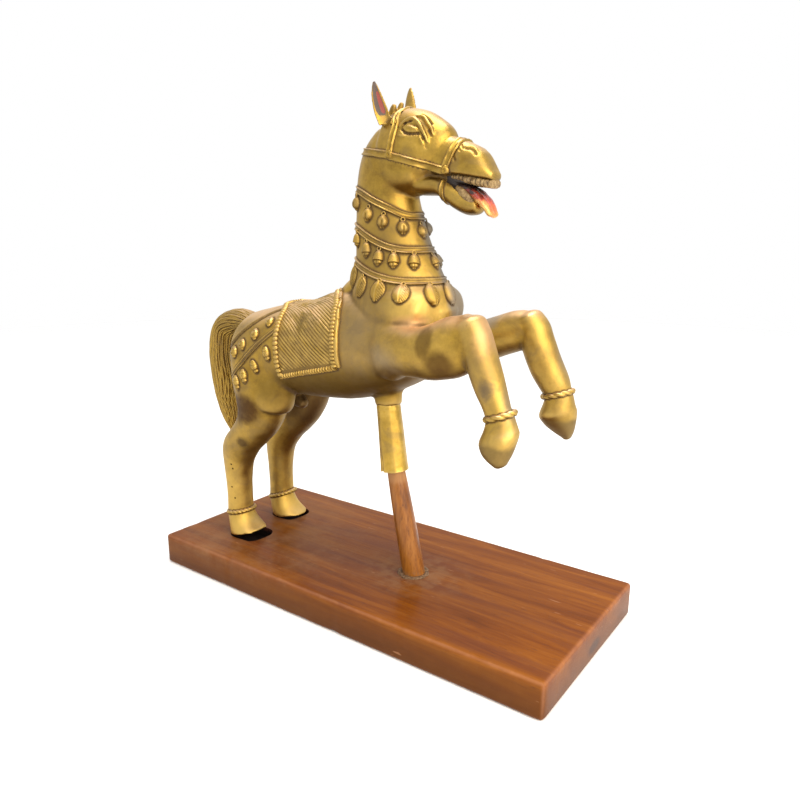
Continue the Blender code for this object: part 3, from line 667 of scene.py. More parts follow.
def drawn_out(
    name, rows, sides=40, steps=6, dome=(0.6, 0.6), power=2.0, across=(0, 1, 0), upright=False, shape=None
):
    """A ball drawn out along oval sections, given as middle x, y, z, half depth and half width.

    The domes are the heights of its two ends, as shares of their size.  A power over 2
    squares the sections.  A shape takes each point's angle and its share of the length, and
    gives how far it stands from the middle, as shares of depth and width.
    """
    curve = spline(rows, steps)
    along = unit(np.gradient(curve[:, :3], axis=0))
    if upright:
        along[:] = (0, 0, -1)
    normal = unit(np.cross(across, along))
    side = np.cross(along, normal)
    count, ends = len(curve), len(DOME_STEPS)
    station = np.r_[[0] * ends, np.arange(count), [count - 1] * ends]
    size = np.r_[np.cos(DOME_STEPS), np.ones(count), np.cos(DOME_STEPS[::-1])]
    back, ahead = dome[0] * curve[0, 3:].min(), dome[1] * curve[-1, 3:].min()
    shift = np.r_[-back * np.sin(DOME_STEPS), np.zeros(count), ahead * np.sin(DOME_STEPS[::-1])]
    rings = len(station)
    bpy.ops.mesh.primitive_uv_sphere_add(segments=sides, ring_count=rings + 1, radius=1)
    ball = named(name)
    around = points_of(ball) * MM
    polar = np.arccos(np.clip(around[:, 2], -1, 1)) / np.pi
    ring = rings - np.rint(polar * (rings + 1)).astype(int)
    pole = (ring < 0) | (ring >= rings)
    ring = np.clip(ring, 0, rings - 1)
    turn = np.arctan2(around[:, 1], around[:, 0])
    deep, wide = shape(turn, ring / (rings - 1)) if shape else squared(turn, 2 / power)
    i = station[ring]
    size = np.where(pole, 0, size[ring])
    deep, wide = deep * size * curve[i, 3], wide * size * curve[i, 4]
    rows = curve[i, :3] + along[i] * shift[ring][:, None]
    rows += normal[i] * deep[:, None] + side[i] * wide[:, None]
    set_points(ball, rows)
    return ball


def mirrored(rows, side):
    """The sections of a left form, or those of its right twin for a side of -1."""
    return [(x, side * y, *rest) for x, y, *rest in rows]


def joined(name, things):
    """Makes one thing of several, without running them together."""
    pick(*things)
    bpy.ops.object.join()
    thing = bpy.context.object
    thing.name = thing.data.name = name
    return thing


def fused(name, forms, grid, rounds):
    """Runs the forms together into one skin on a fine grid, and smooths it."""
    thing = joined(name, forms)
    worked(thing, "REMESH", mode="VOXEL", voxel_size=grid * MM, use_smooth_shade=True)
    return worked(thing, "SMOOTH", factor=0.5, iterations=rounds)


def blended(thing, spots, rounds):
    """Smooths the skin within the ovals given by a middle and radii, most at their middles."""
    rows = points_of(thing)
    share = np.zeros(len(rows))
    for centre, radii in spots:
        size = np.linalg.norm((rows - centre) / np.array(radii), axis=1)
        share = np.maximum(share, np.clip(2 * (1 - size), 0, 1))
    group = thing.vertex_groups.new(name="blend")
    for level in np.arange(0.1, 1.01, 0.1):
        chosen = np.flatnonzero(np.abs(share - level) <= 0.05)
        group.add([int(i) for i in chosen], float(level), "REPLACE")
    worked(thing, "SMOOTH", factor=0.6, iterations=rounds, vertex_group="blend")
    thing.vertex_groups.clear()


def tilted(hoof, x, slope, top=None, shift=(0, 0, 0)):
    """Lifts a hoof to the front.  Below a top, the lift grows over 20 mm and the sole shifts too."""
    rows = points_of(hoof)
    share = 1.0 if top is None else np.clip((top - rows[:, 2]) / 20, 0, 1)
    rows[:, 2] += slope * (rows[:, 0] - x) * share
    if top is not None:
        rows += np.outer(np.clip((top - rows[:, 2]) / (top - HIND_HOOF[-1][2]), 0, 1), shift)
    set_points(hoof, rows)
    return hoof


NECK_AXIS_X = 24.0  # where the upright line through the neck stands
NECK_REACH = 75.0  # how far from that line the neck is looked at


class Skin:
    """Finds points on the outside of a piece, in millimetres."""

    def __init__(self, thing):
        self.thing, self.points = thing, points_of(thing)
        self.tree = BVHTree.FromObject(thing, bpy.context.evaluated_depsgraph_get())

    def towards(self, start, target):
        """The place and normal that are met on the way from a start to a target."""
        start, target = Vector(start) * MM, Vector(target) * MM
        place, normal, _, _ = self.tree.ray_cast(start, (target - start).normalized())
        if place is None:
            place, normal, _, _ = self.tree.find_nearest(target)
        return np.array(place) / MM, np.array(normal)

    def flank(self, x, z, side):
        """A point on the right (-1) or left (1) side."""
        return self.towards((x, side * 200, z), (x, 0, z))

    def neck(self, angle, height):
        """A point on the neck at an angle from its front."""
        angle = math.radians(angle)
        start = (NECK_AXIS_X + NECK_REACH * math.cos(angle), NECK_REACH * math.sin(angle), height)
        return self.towards(start, (NECK_AXIS_X, 0, height))

    def above(self, rows):
        """How far each row stands from the skin."""
        return np.array([self.tree.find_nearest(Vector(row) * MM)[3] / MM for row in rows])

    def shade_and_dirt(self, piece):
        """Dirt and painted shade lie low on a piece that stands on this skin, and its high places are
        rubbed.
        """
        hollow = hollows(piece, 3)
        low = np.clip(hollow / 0.25, 0, 1)
        mark(piece, "grime", np.exp(-((self.above(points_of(piece)) / 1.1) ** 2)) * 0.8 + low * 0.6)
        mark(piece, "rubbed", -hollow / 0.2)

    def gather_shade_and_dirt(self, piece, reach=2.4, on_piece=True):
        """Dirt and painted shade lie on this skin, all round a piece that stands on it, and on the piece
        too.
        """
        if on_piece:
            self.shade_and_dirt(piece)
        rows = points_of(piece)
        near = KDTree(len(rows))
        for i, row in enumerate(rows):
            near.insert(row, i)
        near.balance()
        low, high = rows.min(0) - 2 * reach, rows.max(0) + 2 * reach
        inside = np.all((self.points > low) & (self.points < high), axis=1)
        grime = self.thing.data.attributes["grime"].data
        values = np.empty(len(self.points), np.float32)
        grime.foreach_get("value", values)
        for i in np.flatnonzero(inside):
            values[i] = max(values[i], math.exp(-((near.find(self.points[i])[2] / reach) ** 2)))
        grime.foreach_set("value", values)


def hollows(thing, rounds):
    """How far each point lies below its surroundings, in millimetres."""
    rows, normals = points_of(thing), points_of(thing, "normal")
    ends = np.empty(len(thing.data.edges) * 2, np.int32)
    thing.data.edges.foreach_get("vertices", ends)
    a, b = ends.reshape(-1, 2).T
    here, there = np.r_[a, b], np.r_[b, a]
    beside = np.bincount(here, minlength=len(rows))
    smooth = rows.copy()
    for _ in range(rounds):
        sums = [np.bincount(here, smooth[there, i], len(rows)) / beside for i in range(3)]
        smooth = (smooth + np.stack(sums, axis=1)) / 2
    return ((smooth - rows) * normals).sum(axis=1)


def weather_and_shade(thing, rounds, depth):
    """Dirt and painted shade in the hollows, and rubbed high places, on the scale that the rounds reach."""
    hollow = hollows(thing, rounds)
    mark(thing, "grime", hollow / depth)
    mark(thing, "rubbed", -hollow / depth)


def brass(name, rough=0.47, stains_and_light=(), bright=0.0, pitted=1.0, paints=()):
    """Old cast brass: rubbed gold where hands reach it, brown dirt where they don't, with painted shade in
    the hollows and underneath and a painted pink highlight on top.
    """
    metal = Finish(name, IOR=1.5)
    grime, rubbed = metal.attribute("grime"), metal.attribute("rubbed")
    broad = metal.noise(16.0, 4.0, 0.6, warp=0.4)
    mottle = metal.noise(75.0, 5.0, 0.65)
    speckle = metal.noise(420.0, 4.0, 0.7)
    tone = broad * 0.5 + mottle * 0.35 + speckle * 0.15 + bright
    colour = metal.ramp(tone, [
        (0.36, (0.250, 0.147, 0.030)), (0.47, (0.385, 0.238, 0.043)),
        (0.56, (0.485, 0.304, 0.053)), (0.68, (0.590, 0.392, 0.092)),
    ])
    colour = metal.mix(rubbed * 0.6, colour, (0.550, 0.375, 0.125))
    facing = metal.part("Z", metal.node("ShaderNodeTexCoord", {}, {}, "Normal"))
    # Painted shade: surfaces turn dark olive as they face down.
    under = (1.0 - metal.between(facing + (mottle - 0.5) * 0.4, -0.98, 0.34)) * 0.85
    colour = metal.mix(under, colour, UNDER_SHADE)
    # Painted highlight: faces that look up are tinted copper pink, as the warm light from above would tint
    # them.
    above = metal.between(facing + (broad - 0.5) * 0.7, 0.50, 1.0) * 0.75
    colour = metal.mix(above, colour, (0.740, 0.500, 0.290))
    flecks = metal.between(metal.noise(150.0, 3.0, 0.6), 0.64, 0.74) * 0.35
    colour = metal.mix(flecks, colour, (0.250, 0.130, 0.040))
    # Handling has left the polish cloudy, in patches a few centimetres across.
    cloud = metal.between(metal.noise(30.0, 3.0, 0.65, warp=0.9), 0.50, 0.66)
    colour = metal.mix(cloud * 0.36, colour, (0.215, 0.150, 0.068))
    stained_and_lit = 0.0
    for centre, radii, tint, strength, wobble, edge in stains_and_light:
        here = metal.spot((centre[0], centre[1] + MID_Y, centre[2]), radii, wobble, edge)
        here = here * (mottle * 0.9 + 0.55) * strength
        colour = metal.mix(here, colour, tint)
        stained_and_lit = here + stained_and_lit
    # Dirt and painted shade darken the hollows and the skin round the pieces that stand on it.
    shade_and_dirt = metal.between(grime + (mottle - 0.5) * 0.35, 0.12, 0.95)
    colour = metal.mix(shade_and_dirt * 0.88, colour, (0.070, 0.036, 0.012))
    painted = 0.0
    for attribute, tint in paints:
        here = metal.between(metal.attribute(attribute) + (mottle - 0.5) * 0.7, 0.35, 0.60)
        colour = metal.mix(here, colour, tint)
        painted = here + painted
    pits = metal.between(metal.noise(260.0, 2.0, 0.5), 0.66, 0.80) * pitted
    filed = metal.scaled((1.0, 9.0, 9.0), turn=(0.3, 0.5, 0.7))
    lines = metal.between(metal.noise(60.0, 2.0, 0.5, filed), 0.62, 0.75)
    uneven = rough + (mottle - 0.5) * 0.22 + cloud * 0.06 + shade_and_dirt * 0.30 + stained_and_lit * 0.10
    uneven = uneven + speckle * 0.06 - rubbed * 0.07
    height = speckle * 0.10 + mottle * 0.5 - pits * 0.55 - lines * 0.16
    bare = 1.0 - shade_and_dirt * 0.55
    if paints:
        bare = bare * (1.0 - painted)
    return metal.done(
        Base_Color=colour, Roughness=uneven, Metallic=bare,
        Normal=metal.bump(height, 0.22, 0.5, metal.bump(broad, 2.6, 0.32)),
    )


def cast(piece, finish):
    """Moves a piece of the casting from the mid-plane to its place on the plank and dresses it."""
    piece.data.transform(Matrix.Translation((0, MID_Y * MM, 0)))
    dress(piece, "horse", finish)


forms = [
    drawn_out("torso", TORSO, 56, dome=(0.5, 0.4), power=2.15),
    drawn_out("breast", BREAST, 48, dome=(0.5, 0.5)),
    drawn_out("withers", WITHERS),
    drawn_out("neck", NECK, 48),
    drawn_out("stub", STUB, dome=(0.2, 0.01)),
    drawn_out("sheath", SHEATH),
]
for left, side in enumerate((-1, 1)):
    forms.append(drawn_out("forearm", mirrored(FOREARM[left], side)))
    forms.append(drawn_out("cannon", mirrored(CANNON[left], side)))
    hoof = drawn_out("fore hoof", mirrored(FORE_HOOF[left], side), upright=True)
    forms.append(tilted(hoof, FORE_HOOF[left][0][0], FORE_TILT[left]))
    forms.append(drawn_out("thigh", mirrored(THIGH, side), upright=True))
    hoof = drawn_out("hind hoof", mirrored(HIND_HOOF, side), dome=(0.1, 0.02), upright=True)
    forms.append(tilted(hoof, HIND_HOOF[-1][0], HIND_TILT[left], PASTERN_Z, HIND_SHIFT[left]))
    stifle = [(x + STIFLE_SHIFT[left], *rest) for x, *rest in mirrored(STIFLE, side)]
    forms.append(drawn_out("stifle", stifle, dome=(0.6, 0.35)))
body = fused("horse_body", forms, SKIN_GRID, 6)
blended(body, SOFT_PLACES, 70)

# The rump stands a little proud above the crupper's upper line, with a step along it.
RUMP_STEP = 1.3
RUMP_ENDS = (-178, -96)  # x of its rear and front end
rows = points_of(body)
line = np.array(CRUPPER_UPPER[::-1], float)
above = rows[:, 2] - np.interp(rows[:, 0], line[:, 0], line[:, 1])
rump = np.clip(above / 1.6, 0, 1) * np.clip((RUMP_ENDS[1] - rows[:, 0]) / 3, 0, 1)
rump = rump * np.clip((rows[:, 0] - RUMP_ENDS[0]) / 6, 0, 1) * RUMP_STEP
raised(body, rump + 0.22 * unevenness(rows, 60, 21) + 0.10 * unevenness(rows, 22, 22))

# It is cut along the top collar, where the head goes on.
SEAM_UP = unit((0.435, 0, 1))
SEAM = np.array((0, 0, 433.3))


def cut_at_seam(piece, shift, keep_below):
    """Cuts a piece a little above the seam, or below it, and keeps one side of the cut."""
    pick(piece)
    bpy.ops.object.mode_set(mode="EDIT")
    bpy.ops.mesh.select_all(action="SELECT")
    bpy.ops.mesh.bisect(
        plane_co=(SEAM + SEAM_UP * shift) * MM, plane_no=SEAM_UP, use_fill=True,
        clear_outer=keep_below, clear_inner=not keep_below,
    )
    bpy.ops.object.mode_set(mode="OBJECT")


neck_and_body = Skin(body)
cut_at_seam(body, 1.0, True)
weather_and_shade(body, 40, 1.6)
body_skin = Skin(body)
cast(body, brass("body_brass", stains_and_light=BODY_STAINS_AND_LIGHT))


# ---------------------------------------------------------------- the head
# The head belongs to the same casting.  Heavy folds hang over the eyes, the ears are cupped
# leaves with old red paint inside them, and the lower jaw is hollowed behind its lip.

HEAD_GRID = 0.86  # spacing of the head's surface
CORE_GRID = 1.2  # and of its plain form, before the folds and the ears go on
HEAD = [
    (22, 0, 471, 34, 25), (40, 0, 469, 40, 29), (60, 0, 467.3, 37.8, 28.6), (75, 0, 464.8, 30.2, 22.2),
    (86, 0, 460, 20, 17.2), (98, 0, 458, 18, 16.5),
]
MUZZLE = [  # its middle runs along its broadest line, just above the lip
    (81, 0, 451.6, 31.4, 19), (98, 0, 450.8, 27, 18.2), (110, 0, 449.2, 23.6, 17.7),
    (118.3, 0, 447.6, 20.8, 17),
    (124.7, 0, 446.3, 16.7, 15.6), (130.5, 0, 445.2, 10, 13.4), (135.4, 0, 444.2, 4.2, 10.4),
]
LIP_DEPTH = 5.2  # from the broadest line down to the edge of the lip
JAW = [
    (60, 0, 440, 10.5, 20), (80, 0, 438, 9.8, 17), (90, 0, 433.2, 10.6, 15.5),
    (100, 0, 426.4, 10.8, 14.2), (111, 0, 420.4, 9.9, 13), (119, 0, 418.2, 7.8, 11.2),
]
GULLET = [(14, 0, 456, 24, 22), (30, 0, 452, 24, 26.5), (44, 0, 449, 19, 28), (58, 0, 448, 16, 27)]
MOUTH = [(90, 0, 438, 2.5, 6), (100, 0, 434, 5.2, 9.6), (110, 0, 428.5, 5.8, 9), (120, 0, 423.5, 7, 8.6)]
PALATE = [(84, 0, 444, 6, 10), (100, 0, 442.6, 6.2, 11), (112, 0, 440.6, 5.6, 11), (120, 0, 439.4, 4.2, 9.4)]
EAR = [
    (29.6, 21.4, 495, 5, 6.6), (26.4, 24, 506, 5, 6.9), (24.0, 26.6, 517, 4.2, 5.5),
    (22.7, 28, 525, 3.0, 3.5), (22.1, 28.6, 530, 1.5, 1.6),
]
EAR_TURN = [(0.71, 0.70, 0), (0.97, -0.24, 0)]  # the way that the right and left ear is broad
TUFT = [[(24, -4, 502, 4.5, 4.5), (26.5, -5, 509, 3.4, 3.4), (28, -5.5, 512, 2.4, 2.4)],
        [(26, 2, 502, 4.2, 4.2), (29.4, 2.5, 511, 3.0, 3.0), (31, 2.5, 514.6, 2.2, 2.2)]]
# Ridges on the cheek and the nostril, as x and z, with their radius and how far they stand out.
FACE_RIDGES = [
    ([(48.5, 489), (54, 493.4), (60.5, 495), (67, 490.5), (73.3, 481.5), (77.5, 473.6)], 2.3, 0.5),
    ([(61, 498), (68, 497), (73.5, 491.5), (78.5, 485.6), (80.6, 480.5)], 1.8, 0.4),
    ([(52.6, 488), (58, 490.9), (63.7, 490.6), (69, 487), (72, 482.6)], 1.05, 0.75),
    ([(52.6, 488.2), (57, 484.9), (62.5, 483.6), (67, 483.6), (70.4, 484)], 0.9, 0.6),
    ([(69.7, 479.6), (72, 475.3), (73.4, 471.8)], 1.2, 0.2),
    ([(47.5, 482.5), (52, 480.6), (57, 479.8)], 0.9, 0.1),
    ([(110.5, 469.4), (115, 469.6), (119.5, 467.8), (123, 464)], 0.9, 0.1),
]
# Scored lines on the cheek and the muzzle, as x and z, with their half width and depth.
FACE_LINES = [
    ([(51, 490.5), (56.5, 492.2), (62.5, 492.7), (68, 488.9), (72.5, 482)], 1.0, 2.5),
    ([(69.5, 486.2), (71.5, 484), (74, 478)], 1.2, 2.8),
    ([(66, 499.6), (72, 496), (77, 490.6)], 1.0, 2.0),
    ([(76.3, 484.5), (79.5, 479.8)], 1.0, 1.0),
    ([(51.5, 486.5), (56, 483.2), (62, 481.9), (68.5, 482)], 1.0, 1.8),
    ([(112, 467.4), (116.5, 466.8), (120.5, 464.4), (122.5, 462)], 1.1, 1.2),
    ([(106.5, 471.5), (109.5, 467.5)], 0.8, 0.8), ([(104.5, 468.5), (108, 465.4)], 0.8, 0.7),
    ([(103.5, 458), (101.5, 462.5), (103, 467)], 1.2, 1.4), ([(75.4, 470.3), (76.6, 469.2)], 1.0, 0.6),
]
MOUTH_BOX = (86, 13, 441)  # the mouth is pressed in ahead of this x, within this y, below this z
ROOF = [(95, 446.2), (106, 445.2), (118, 442.9), (127, 440.8)]  # of the dark mouth, as x and z
EAR_FOOT_Z = 494.0
EAR_PAINT = (512.5, 11.5)  # middle height of the red streak, and how far up and down it reaches
EYEBALL = [(54.8, 487.4, 1.0), (57.5, 487.4, 2.1), (61, 486.8, 2.5), (64.6, 485.6, 2.1), (67.6, 484.6, 1.0)]


def ridge(skin, path, side, radius, lift):
    """A round ridge that tapers to both ends, laid on the skin."""
    rows = []
    spots = [skin.flank(x, z, side) for x, z in spline(path, 3)]
    for share, (place, normal) in zip(np.linspace(0, np.pi, len(spots)), spots):
        thick = radius * (0.35 + 0.65 * math.sin(share) ** 0.6)
        rows.append((*(place + normal * (lift * radius - 0.2 * (radius - thick))), thick, thick))
    return drawn_out("ridge", rows, 14, 2)


def cupped(side):
    """An ear's section: its inner face, towards the front, is hollow."""
    def shape(turn, share):
        depth, width = squared(turn, 0.8)
        inner = -side * depth > 0
        return np.where(inner, -0.38 * np.cos(turn) * np.clip(1.4 - share, 0, 1), depth), width

    return shape


def lipped():
    """The muzzle: its sides go straight down to the lip, and its lower face is nearly flat."""
    snout = drawn_out("muzzle", MUZZLE, 56, dome=(0.2, 0.6), power=2.5)
    rows = points_of(snout)
    x, _, z, deep, _ = np.array(MUZZLE).T
    middle, deep = np.interp(rows[:, 0], x, z), np.interp(rows[:, 0], x, deep)
    under = rows[:, 2] < middle
    low = np.clip((middle - rows[:, 2]) / deep, 0, 1) ** 0.6
    rows[under, 2] = (middle - LIP_DEPTH * low)[under]
    set_points(snout, rows)
    return snout


core = fused("cheeks", [
    drawn_out("neck", NECK, 48), drawn_out("skull", HEAD, 56, dome=(0.3, 0.5), power=2.05),
    lipped(), drawn_out("jaw", JAW, 40),
    drawn_out("gullet", GULLET, 40), drawn_out("palate", PALATE, 32),
], CORE_GRID, 4)
blended(core, [((34, 0, 452), (38, 50, 23))], 90)
cheek = Skin(core)
forms = [core]
for side in (-1, 1):
    for path, radius, lift in FACE_RIDGES:
        forms.append(ridge(cheek, path, side, radius, lift))
    rows = []
    for x, z, size in EYEBALL:
        place, normal = cheek.flank(x, z, side)
        rows.append((*(place + normal * 0.2), size, size * 0.62))
    forms.append(drawn_out("eyeball", rows, 20, 4))
    across = EAR_TURN[int(side > 0)]
    ear = mirrored(EAR, side)
    if side > 0:
        ear = [(x + 0.9, y, z + 0.09 * (z - 495), depth, 1.3 * width) for x, y, z, depth, width in ear]
    forms.append(drawn_out("ear", ear, 40, 8, (0.2, 0.6), 2.0, across, shape=cupped(side)))
forms += [drawn_out("tuft", rows, 14, 4) for rows in TUFT]
head = joined("horse_head", forms)
worked(head, "REMESH", mode="VOXEL", voxel_size=HEAD_GRID * MM, use_smooth_shade=True)
cut_at_seam(head, -1.0, False)
worked(head, "SMOOTH", factor=0.5, iterations=2)
blended(head, [((26, side * 25, 514), (15, 13, 26)) for side in (-1, 1)], 8)

rows, normals = points_of(head), points_of(head, "normal")
for path, half_width, depth in FACE_LINES:
    for side in (-1, 1):
        line = np.array([cheek.flank(x, z, side)[0] for x, z in spline(path, 6)])
        near = np.flatnonzero(np.all((rows > line.min(0) - 5) & (rows < line.max(0) + 5), axis=1))
        away = np.sqrt(((rows[near, None] - line[None]) ** 2).sum(axis=2)).min(axis=1)
        rows[near] -= normals[near] * (depth * np.exp(-(away / half_width) ** 2))[:, None]

# The hollow of the mouth is pressed into the jaw.
curve = spline(MOUTH, 6)
x, y, z = np.abs(rows).T
near = np.flatnonzero((x > MOUTH_BOX[0]) & (y < MOUTH_BOX[1]) & (z < MOUTH_BOX[2]))
offset = rows[near, None] - curve[None, :, :3]
offset[:, :, 1] = 0
station = (offset**2).sum(axis=2).argmin(axis=1)
along = unit(np.gradient(curve[:, :3], axis=0))[station]
up = np.column_stack([-along[:, 2], 0 * station, along[:, 0]])
high = ((rows[near] - curve[station, :3]) * up).sum(axis=1) / curve[station, 3]
wide = rows[near, 1] / curve[station, 4]
size = np.hypot(high, wide)
ahead = ((rows[near] - curve[station, :3]) * along).sum(axis=1)
inside = (size < 1) & (np.abs(ahead) < 3)
push = (1 / np.maximum(size, 0.2) - 1) * inside
shift = up * (high * push * curve[station, 3])[:, None]
shift[:, 1] += wide * push * curve[station, 4]
rows[near] += shift
set_points(head, rows)
worked(head, "SMOOTH", factor=0.5, iterations=1)
# Painted shade: the hollow of the mouth, and the palate and throat behind it, are painted near black.
mouth = np.zeros(len(rows))
mouth[near] = inside & (size < 0.85)
rows = points_of(head)
x, y, z = rows.T
roof = np.interp(x, *np.array(ROOF).T)
throat = (x > 92) & (x < 122) & (np.abs(y) < 11.8) & (z > 432) & (z < roof)
mouth = np.maximum(mouth, throat)
red, bloom = np.zeros(len(rows)), np.zeros(len(rows))
for side in (-1, 1):
    across = np.array(EAR_TURN[int(side > 0)])
    facing = points_of(head, "normal") @ np.cross((0, 0, side), across)
    ear = spline(mirrored(EAR, side), 6)
    middle = np.column_stack([np.interp(z, ear[:, 2], ear[:, i]) for i in (0, 1, 4)])
    share = (rows[:, :2] - middle[:, :2]) @ across[:2] / middle[:, 2]
    inner = np.clip(facing * 3, 0, 1) * (np.abs(y - middle[:, 1]) < 12)
    broad = np.clip((0.9 - np.abs(share)) / 0.5, 0, 1)
    bloom = np.maximum(bloom, inner * broad * np.clip((z - (EAR_FOOT_Z + 3)) / 8, 0, 1))
    length = np.clip((EAR_PAINT[1] - np.abs(z - EAR_PAINT[0])) / 4, 0, 1)
    streak = np.clip((0.46 - np.abs(share - 0.28)) / 0.36, 0, 1) * length
    red = np.maximum(red, inner * streak)
# The ears and the tufts are dull all over, for no hand rubs them.
hollow = hollows(head, 26) / 0.8
dull = 0.42 * np.clip((z - EAR_FOOT_Z) / 14, 0, 1)
mark(head, "grime", np.maximum(np.clip(hollow, 0, 1), dull))
mark(head, "rubbed", np.clip(-hollow, 0, 1) * (1 - 0.85 * np.clip((z - EAR_FOOT_Z) / 8, 0, 1)))
mark(head, "mouth", mouth)
mark(head, "red", red)
mark(head, "bloom", bloom)
head_skin = Skin(head)
cast(head, brass("head_brass", 0.37, paints=[
    ("mouth", (0.012, 0.006, 0.004)), ("bloom", (0.058, 0.035, 0.025)), ("red", (0.200, 0.026, 0.015)),
]))


# ---------------------------------------------------------------- the teeth and the tongue
# The teeth are a cast strip under the lip, once painted cream and now mottled.  The tongue
# hangs out over the lower lip in worn red and orange paint, with bare brass at its tip.

UPPER_TEETH = [
    (97, 0, 444.4, 2.4, 12), (105, 0, 443.4, 3.4, 13.2), (116, 0, 440.9, 4.2, 13.8),
    (127, 0, 438.5, 4.2, 12.8), (135.6, 0, 436.9, 3.9, 9.6),
]
LOWER_TEETH = [  # round the jaw, from its right side to its left
    (102, -9.4, 435.0, 2.0, 2.0), (106.5, -9.8, 432.0, 3.6, 3.6), (112, -9.8, 427.4, 4.1, 4.1),
    (117, -8, 422.6, 3.2, 3.2), (119.5, 0, 420.2, 2.4, 2.4), (117, 8, 422.6, 3.2, 3.2),
    (112, 9.8, 427.4, 4.1, 4.1), (106.5, 9.8, 432.0, 3.6, 3.6), (102, 9.4, 435.0, 2.0, 2.0),
]
TONGUE = [
    (90, 0, 436, 3.0, 7), (101, 0, 436, 4.0, 9.2), (112, -0.5, 433.4, 4.7, 11),
    (121, -1, 427.8, 4.9, 12.2), (129, -1, 419.6, 4.6, 11.8), (135, -1, 411.2, 3.4, 8.2),
]
TOOTH_GAPS = (12, 0.12, 0.09)  # how many along the upper strip, their width and their depth


def toothed(turn, share):
    """A square section, drawn in at every gap between two teeth."""
    count, half_width, depth = TOOTH_GAPS
    gap = 1 - depth * np.exp(-((((share * count) % 1) - 0.5) / half_width) ** 2)
    return [out * gap for out in squared(turn, 2 / 2.6)]


def grooved(turn, share):
    """The tongue's section, hollow along the middle of its upper face."""
    depth, width = np.cos(turn), np.sin(turn)
    top = depth < 0
    return np.where(top, depth * (0.55 + 0.45 * np.abs(width) ** 0.7), depth), width


def cream_paint():
    """Old cream paint, mottled brown."""
    paint = Finish("tooth_paint", Specular_IOR_Level=0.4)
    blotch = paint.noise(210.0, 4.0, 0.7)
    colour = paint.ramp(blotch, [
        (0.36, (0.105, 0.060, 0.020)), (0.47, (0.205, 0.128, 0.048)), (0.60, (0.315, 0.215, 0.090)),
    ])
    colour = paint.mix(paint.between(paint.attribute("grime"), 0.2, 0.9) * 0.8, colour, (0.05, 0.028, 0.012))
    return paint.done(Base_Color=colour, Roughness=0.45 + blotch * 0.2, Normal=paint.bump(blotch, 0.3, 0.5))


def tongue_paint():
    """Red paint that turns orange and wears away towards the tip."""
    paint = Finish("tongue_paint", Coat_Roughness=0.2, Coat_Weight=0.3)
    blotch = paint.noise(160.0, 4.0, 0.65)
    down = (0.434 - paint.part("Z")) / 0.030 + (blotch - 0.5) * 0.9
    colour = paint.ramp(down, [
        (0.05, (0.020, 0.006, 0.004)), (0.26, (0.260, 0.022, 0.010)), (0.50, (0.620, 0.075, 0.018)),
        (0.72, (0.640, 0.150, 0.030)), (0.93, (0.560, 0.330, 0.080)),
    ])
    away = abs(paint.part("Y") - MID_Y * MM)
    bare = paint.between(away * 1000.0 + (blotch - 0.5) * 9.0, 5.8, 8.6) * paint.between(down, 0.25, 0.5)
    colour = paint.mix(bare * 0.85, colour, (0.600, 0.420, 0.120))
    return paint.done(
        Base_Color=colour, Roughness=0.34 + blotch * 0.2, Metallic=bare * 0.8,
        Normal=paint.bump(blotch, 0.3, 0.5),
    )


teeth = joined("teeth", [
    drawn_out("upper teeth", UPPER_TEETH, 48, 12, (0.3, 0.4), shape=toothed),
    drawn_out("lower teeth", LOWER_TEETH, 16, 5, across=(0, 0, 1)),
])
tongue = drawn_out("tongue", TONGUE, 40, 8, (0.5, 0.9), shape=grooved)
raised(teeth, 0.28 * unevenness(points_of(teeth), 5, 31))
raised(tongue, 0.22 * unevenness(points_of(tongue), 7, 32))
for piece in (teeth, tongue):
    weather_and_shade(piece, 4, 0.3)
    smoothed(piece)
cast(teeth, cream_paint())
cast(tongue, tongue_paint())


# ---------------------------------------------------------------- the collars and the bridle
# Flat straps with two raised edges run round the neck and the head.  They are cast with the
# horse, and dirt and painted shade lie along both sides of each of them.

COLLARS = [  # angle from the front, and height there
    [(0, 410.5), (23, 409.8), (38, 411.7), (66, 417.9), (98, 424.5), (134, 433.8), (180, 440)],
    [(0, 379.0), (39, 378.8), (62, 381.2), (93, 387.8), (135, 398.9), (180, 405)],
    [(0, 349.8), (43, 349.9), (60, 351.6), (85, 355.8), (137, 366.2), (180, 371)],
]
# Half of a strap's outline, as shares of its width and rise, and how deep its foot is sunk.
STRAP_OUTLINE = [(0.50, 0.42), (0.45, 0.84), (0.37, 1.00), (0.28, 0.84), (0.21, 0.52), (0.07, 0.46)]
STRAP_SUNK = 2.0
COLLAR_STRAP = (6.6, 1.9)  # width and rise
BRIDLE_STRAP = (7.2, 1.8)
THROAT_STRAP = (4.4, 1.4)
# The cheek and the long bands, as x and z, are the same on both sides.
CHEEK_BAND = [(40.2, 500.5), (43.2, 492), (42.6, 484), (41, 475), (39.6, 467)]
LONG_BAND = [(39, 464.5), (54, 460.5), (73, 455), (92, 449.5)]
# The other bands go round: middle, direction of the top, first and last angle.
NAPE_BAND = ((37, 0, 465.5), (-1, 0, 0.16), -4, 184)
POLL_BAND = ((39.8, 0, 470), (0.02, 0, 1.0), 44, 136)
NOSE_BAND = ((94, 0, 452), (0.38, 0, 0.925), -8, 188)
THROAT_BAND = ((89.5, 0, 440), (0.13, 0, 1), 171, 387)
ARC_STEP, ARC_REACH = 4, 60  # degrees between the places of a band, and how far off it is aimed from
KNOT = (8.4, 9.5, 2.6)  # width, length and rise
KNOTS = [(39.5, 465.5, -0.3), (94, 449.8, 0.2)]  # x, z and lean


def eased(normals, closed, rounds):
    """Evens out the normals along a path."""
    for _ in range(rounds):
        before, after = np.roll(normals, 1, axis=0), np.roll(normals, -1, axis=0)
        if not closed:
            before[0], after[-1] = normals[0], normals[-1]
        normals = unit(normals * 2 + before + after)
    return normals


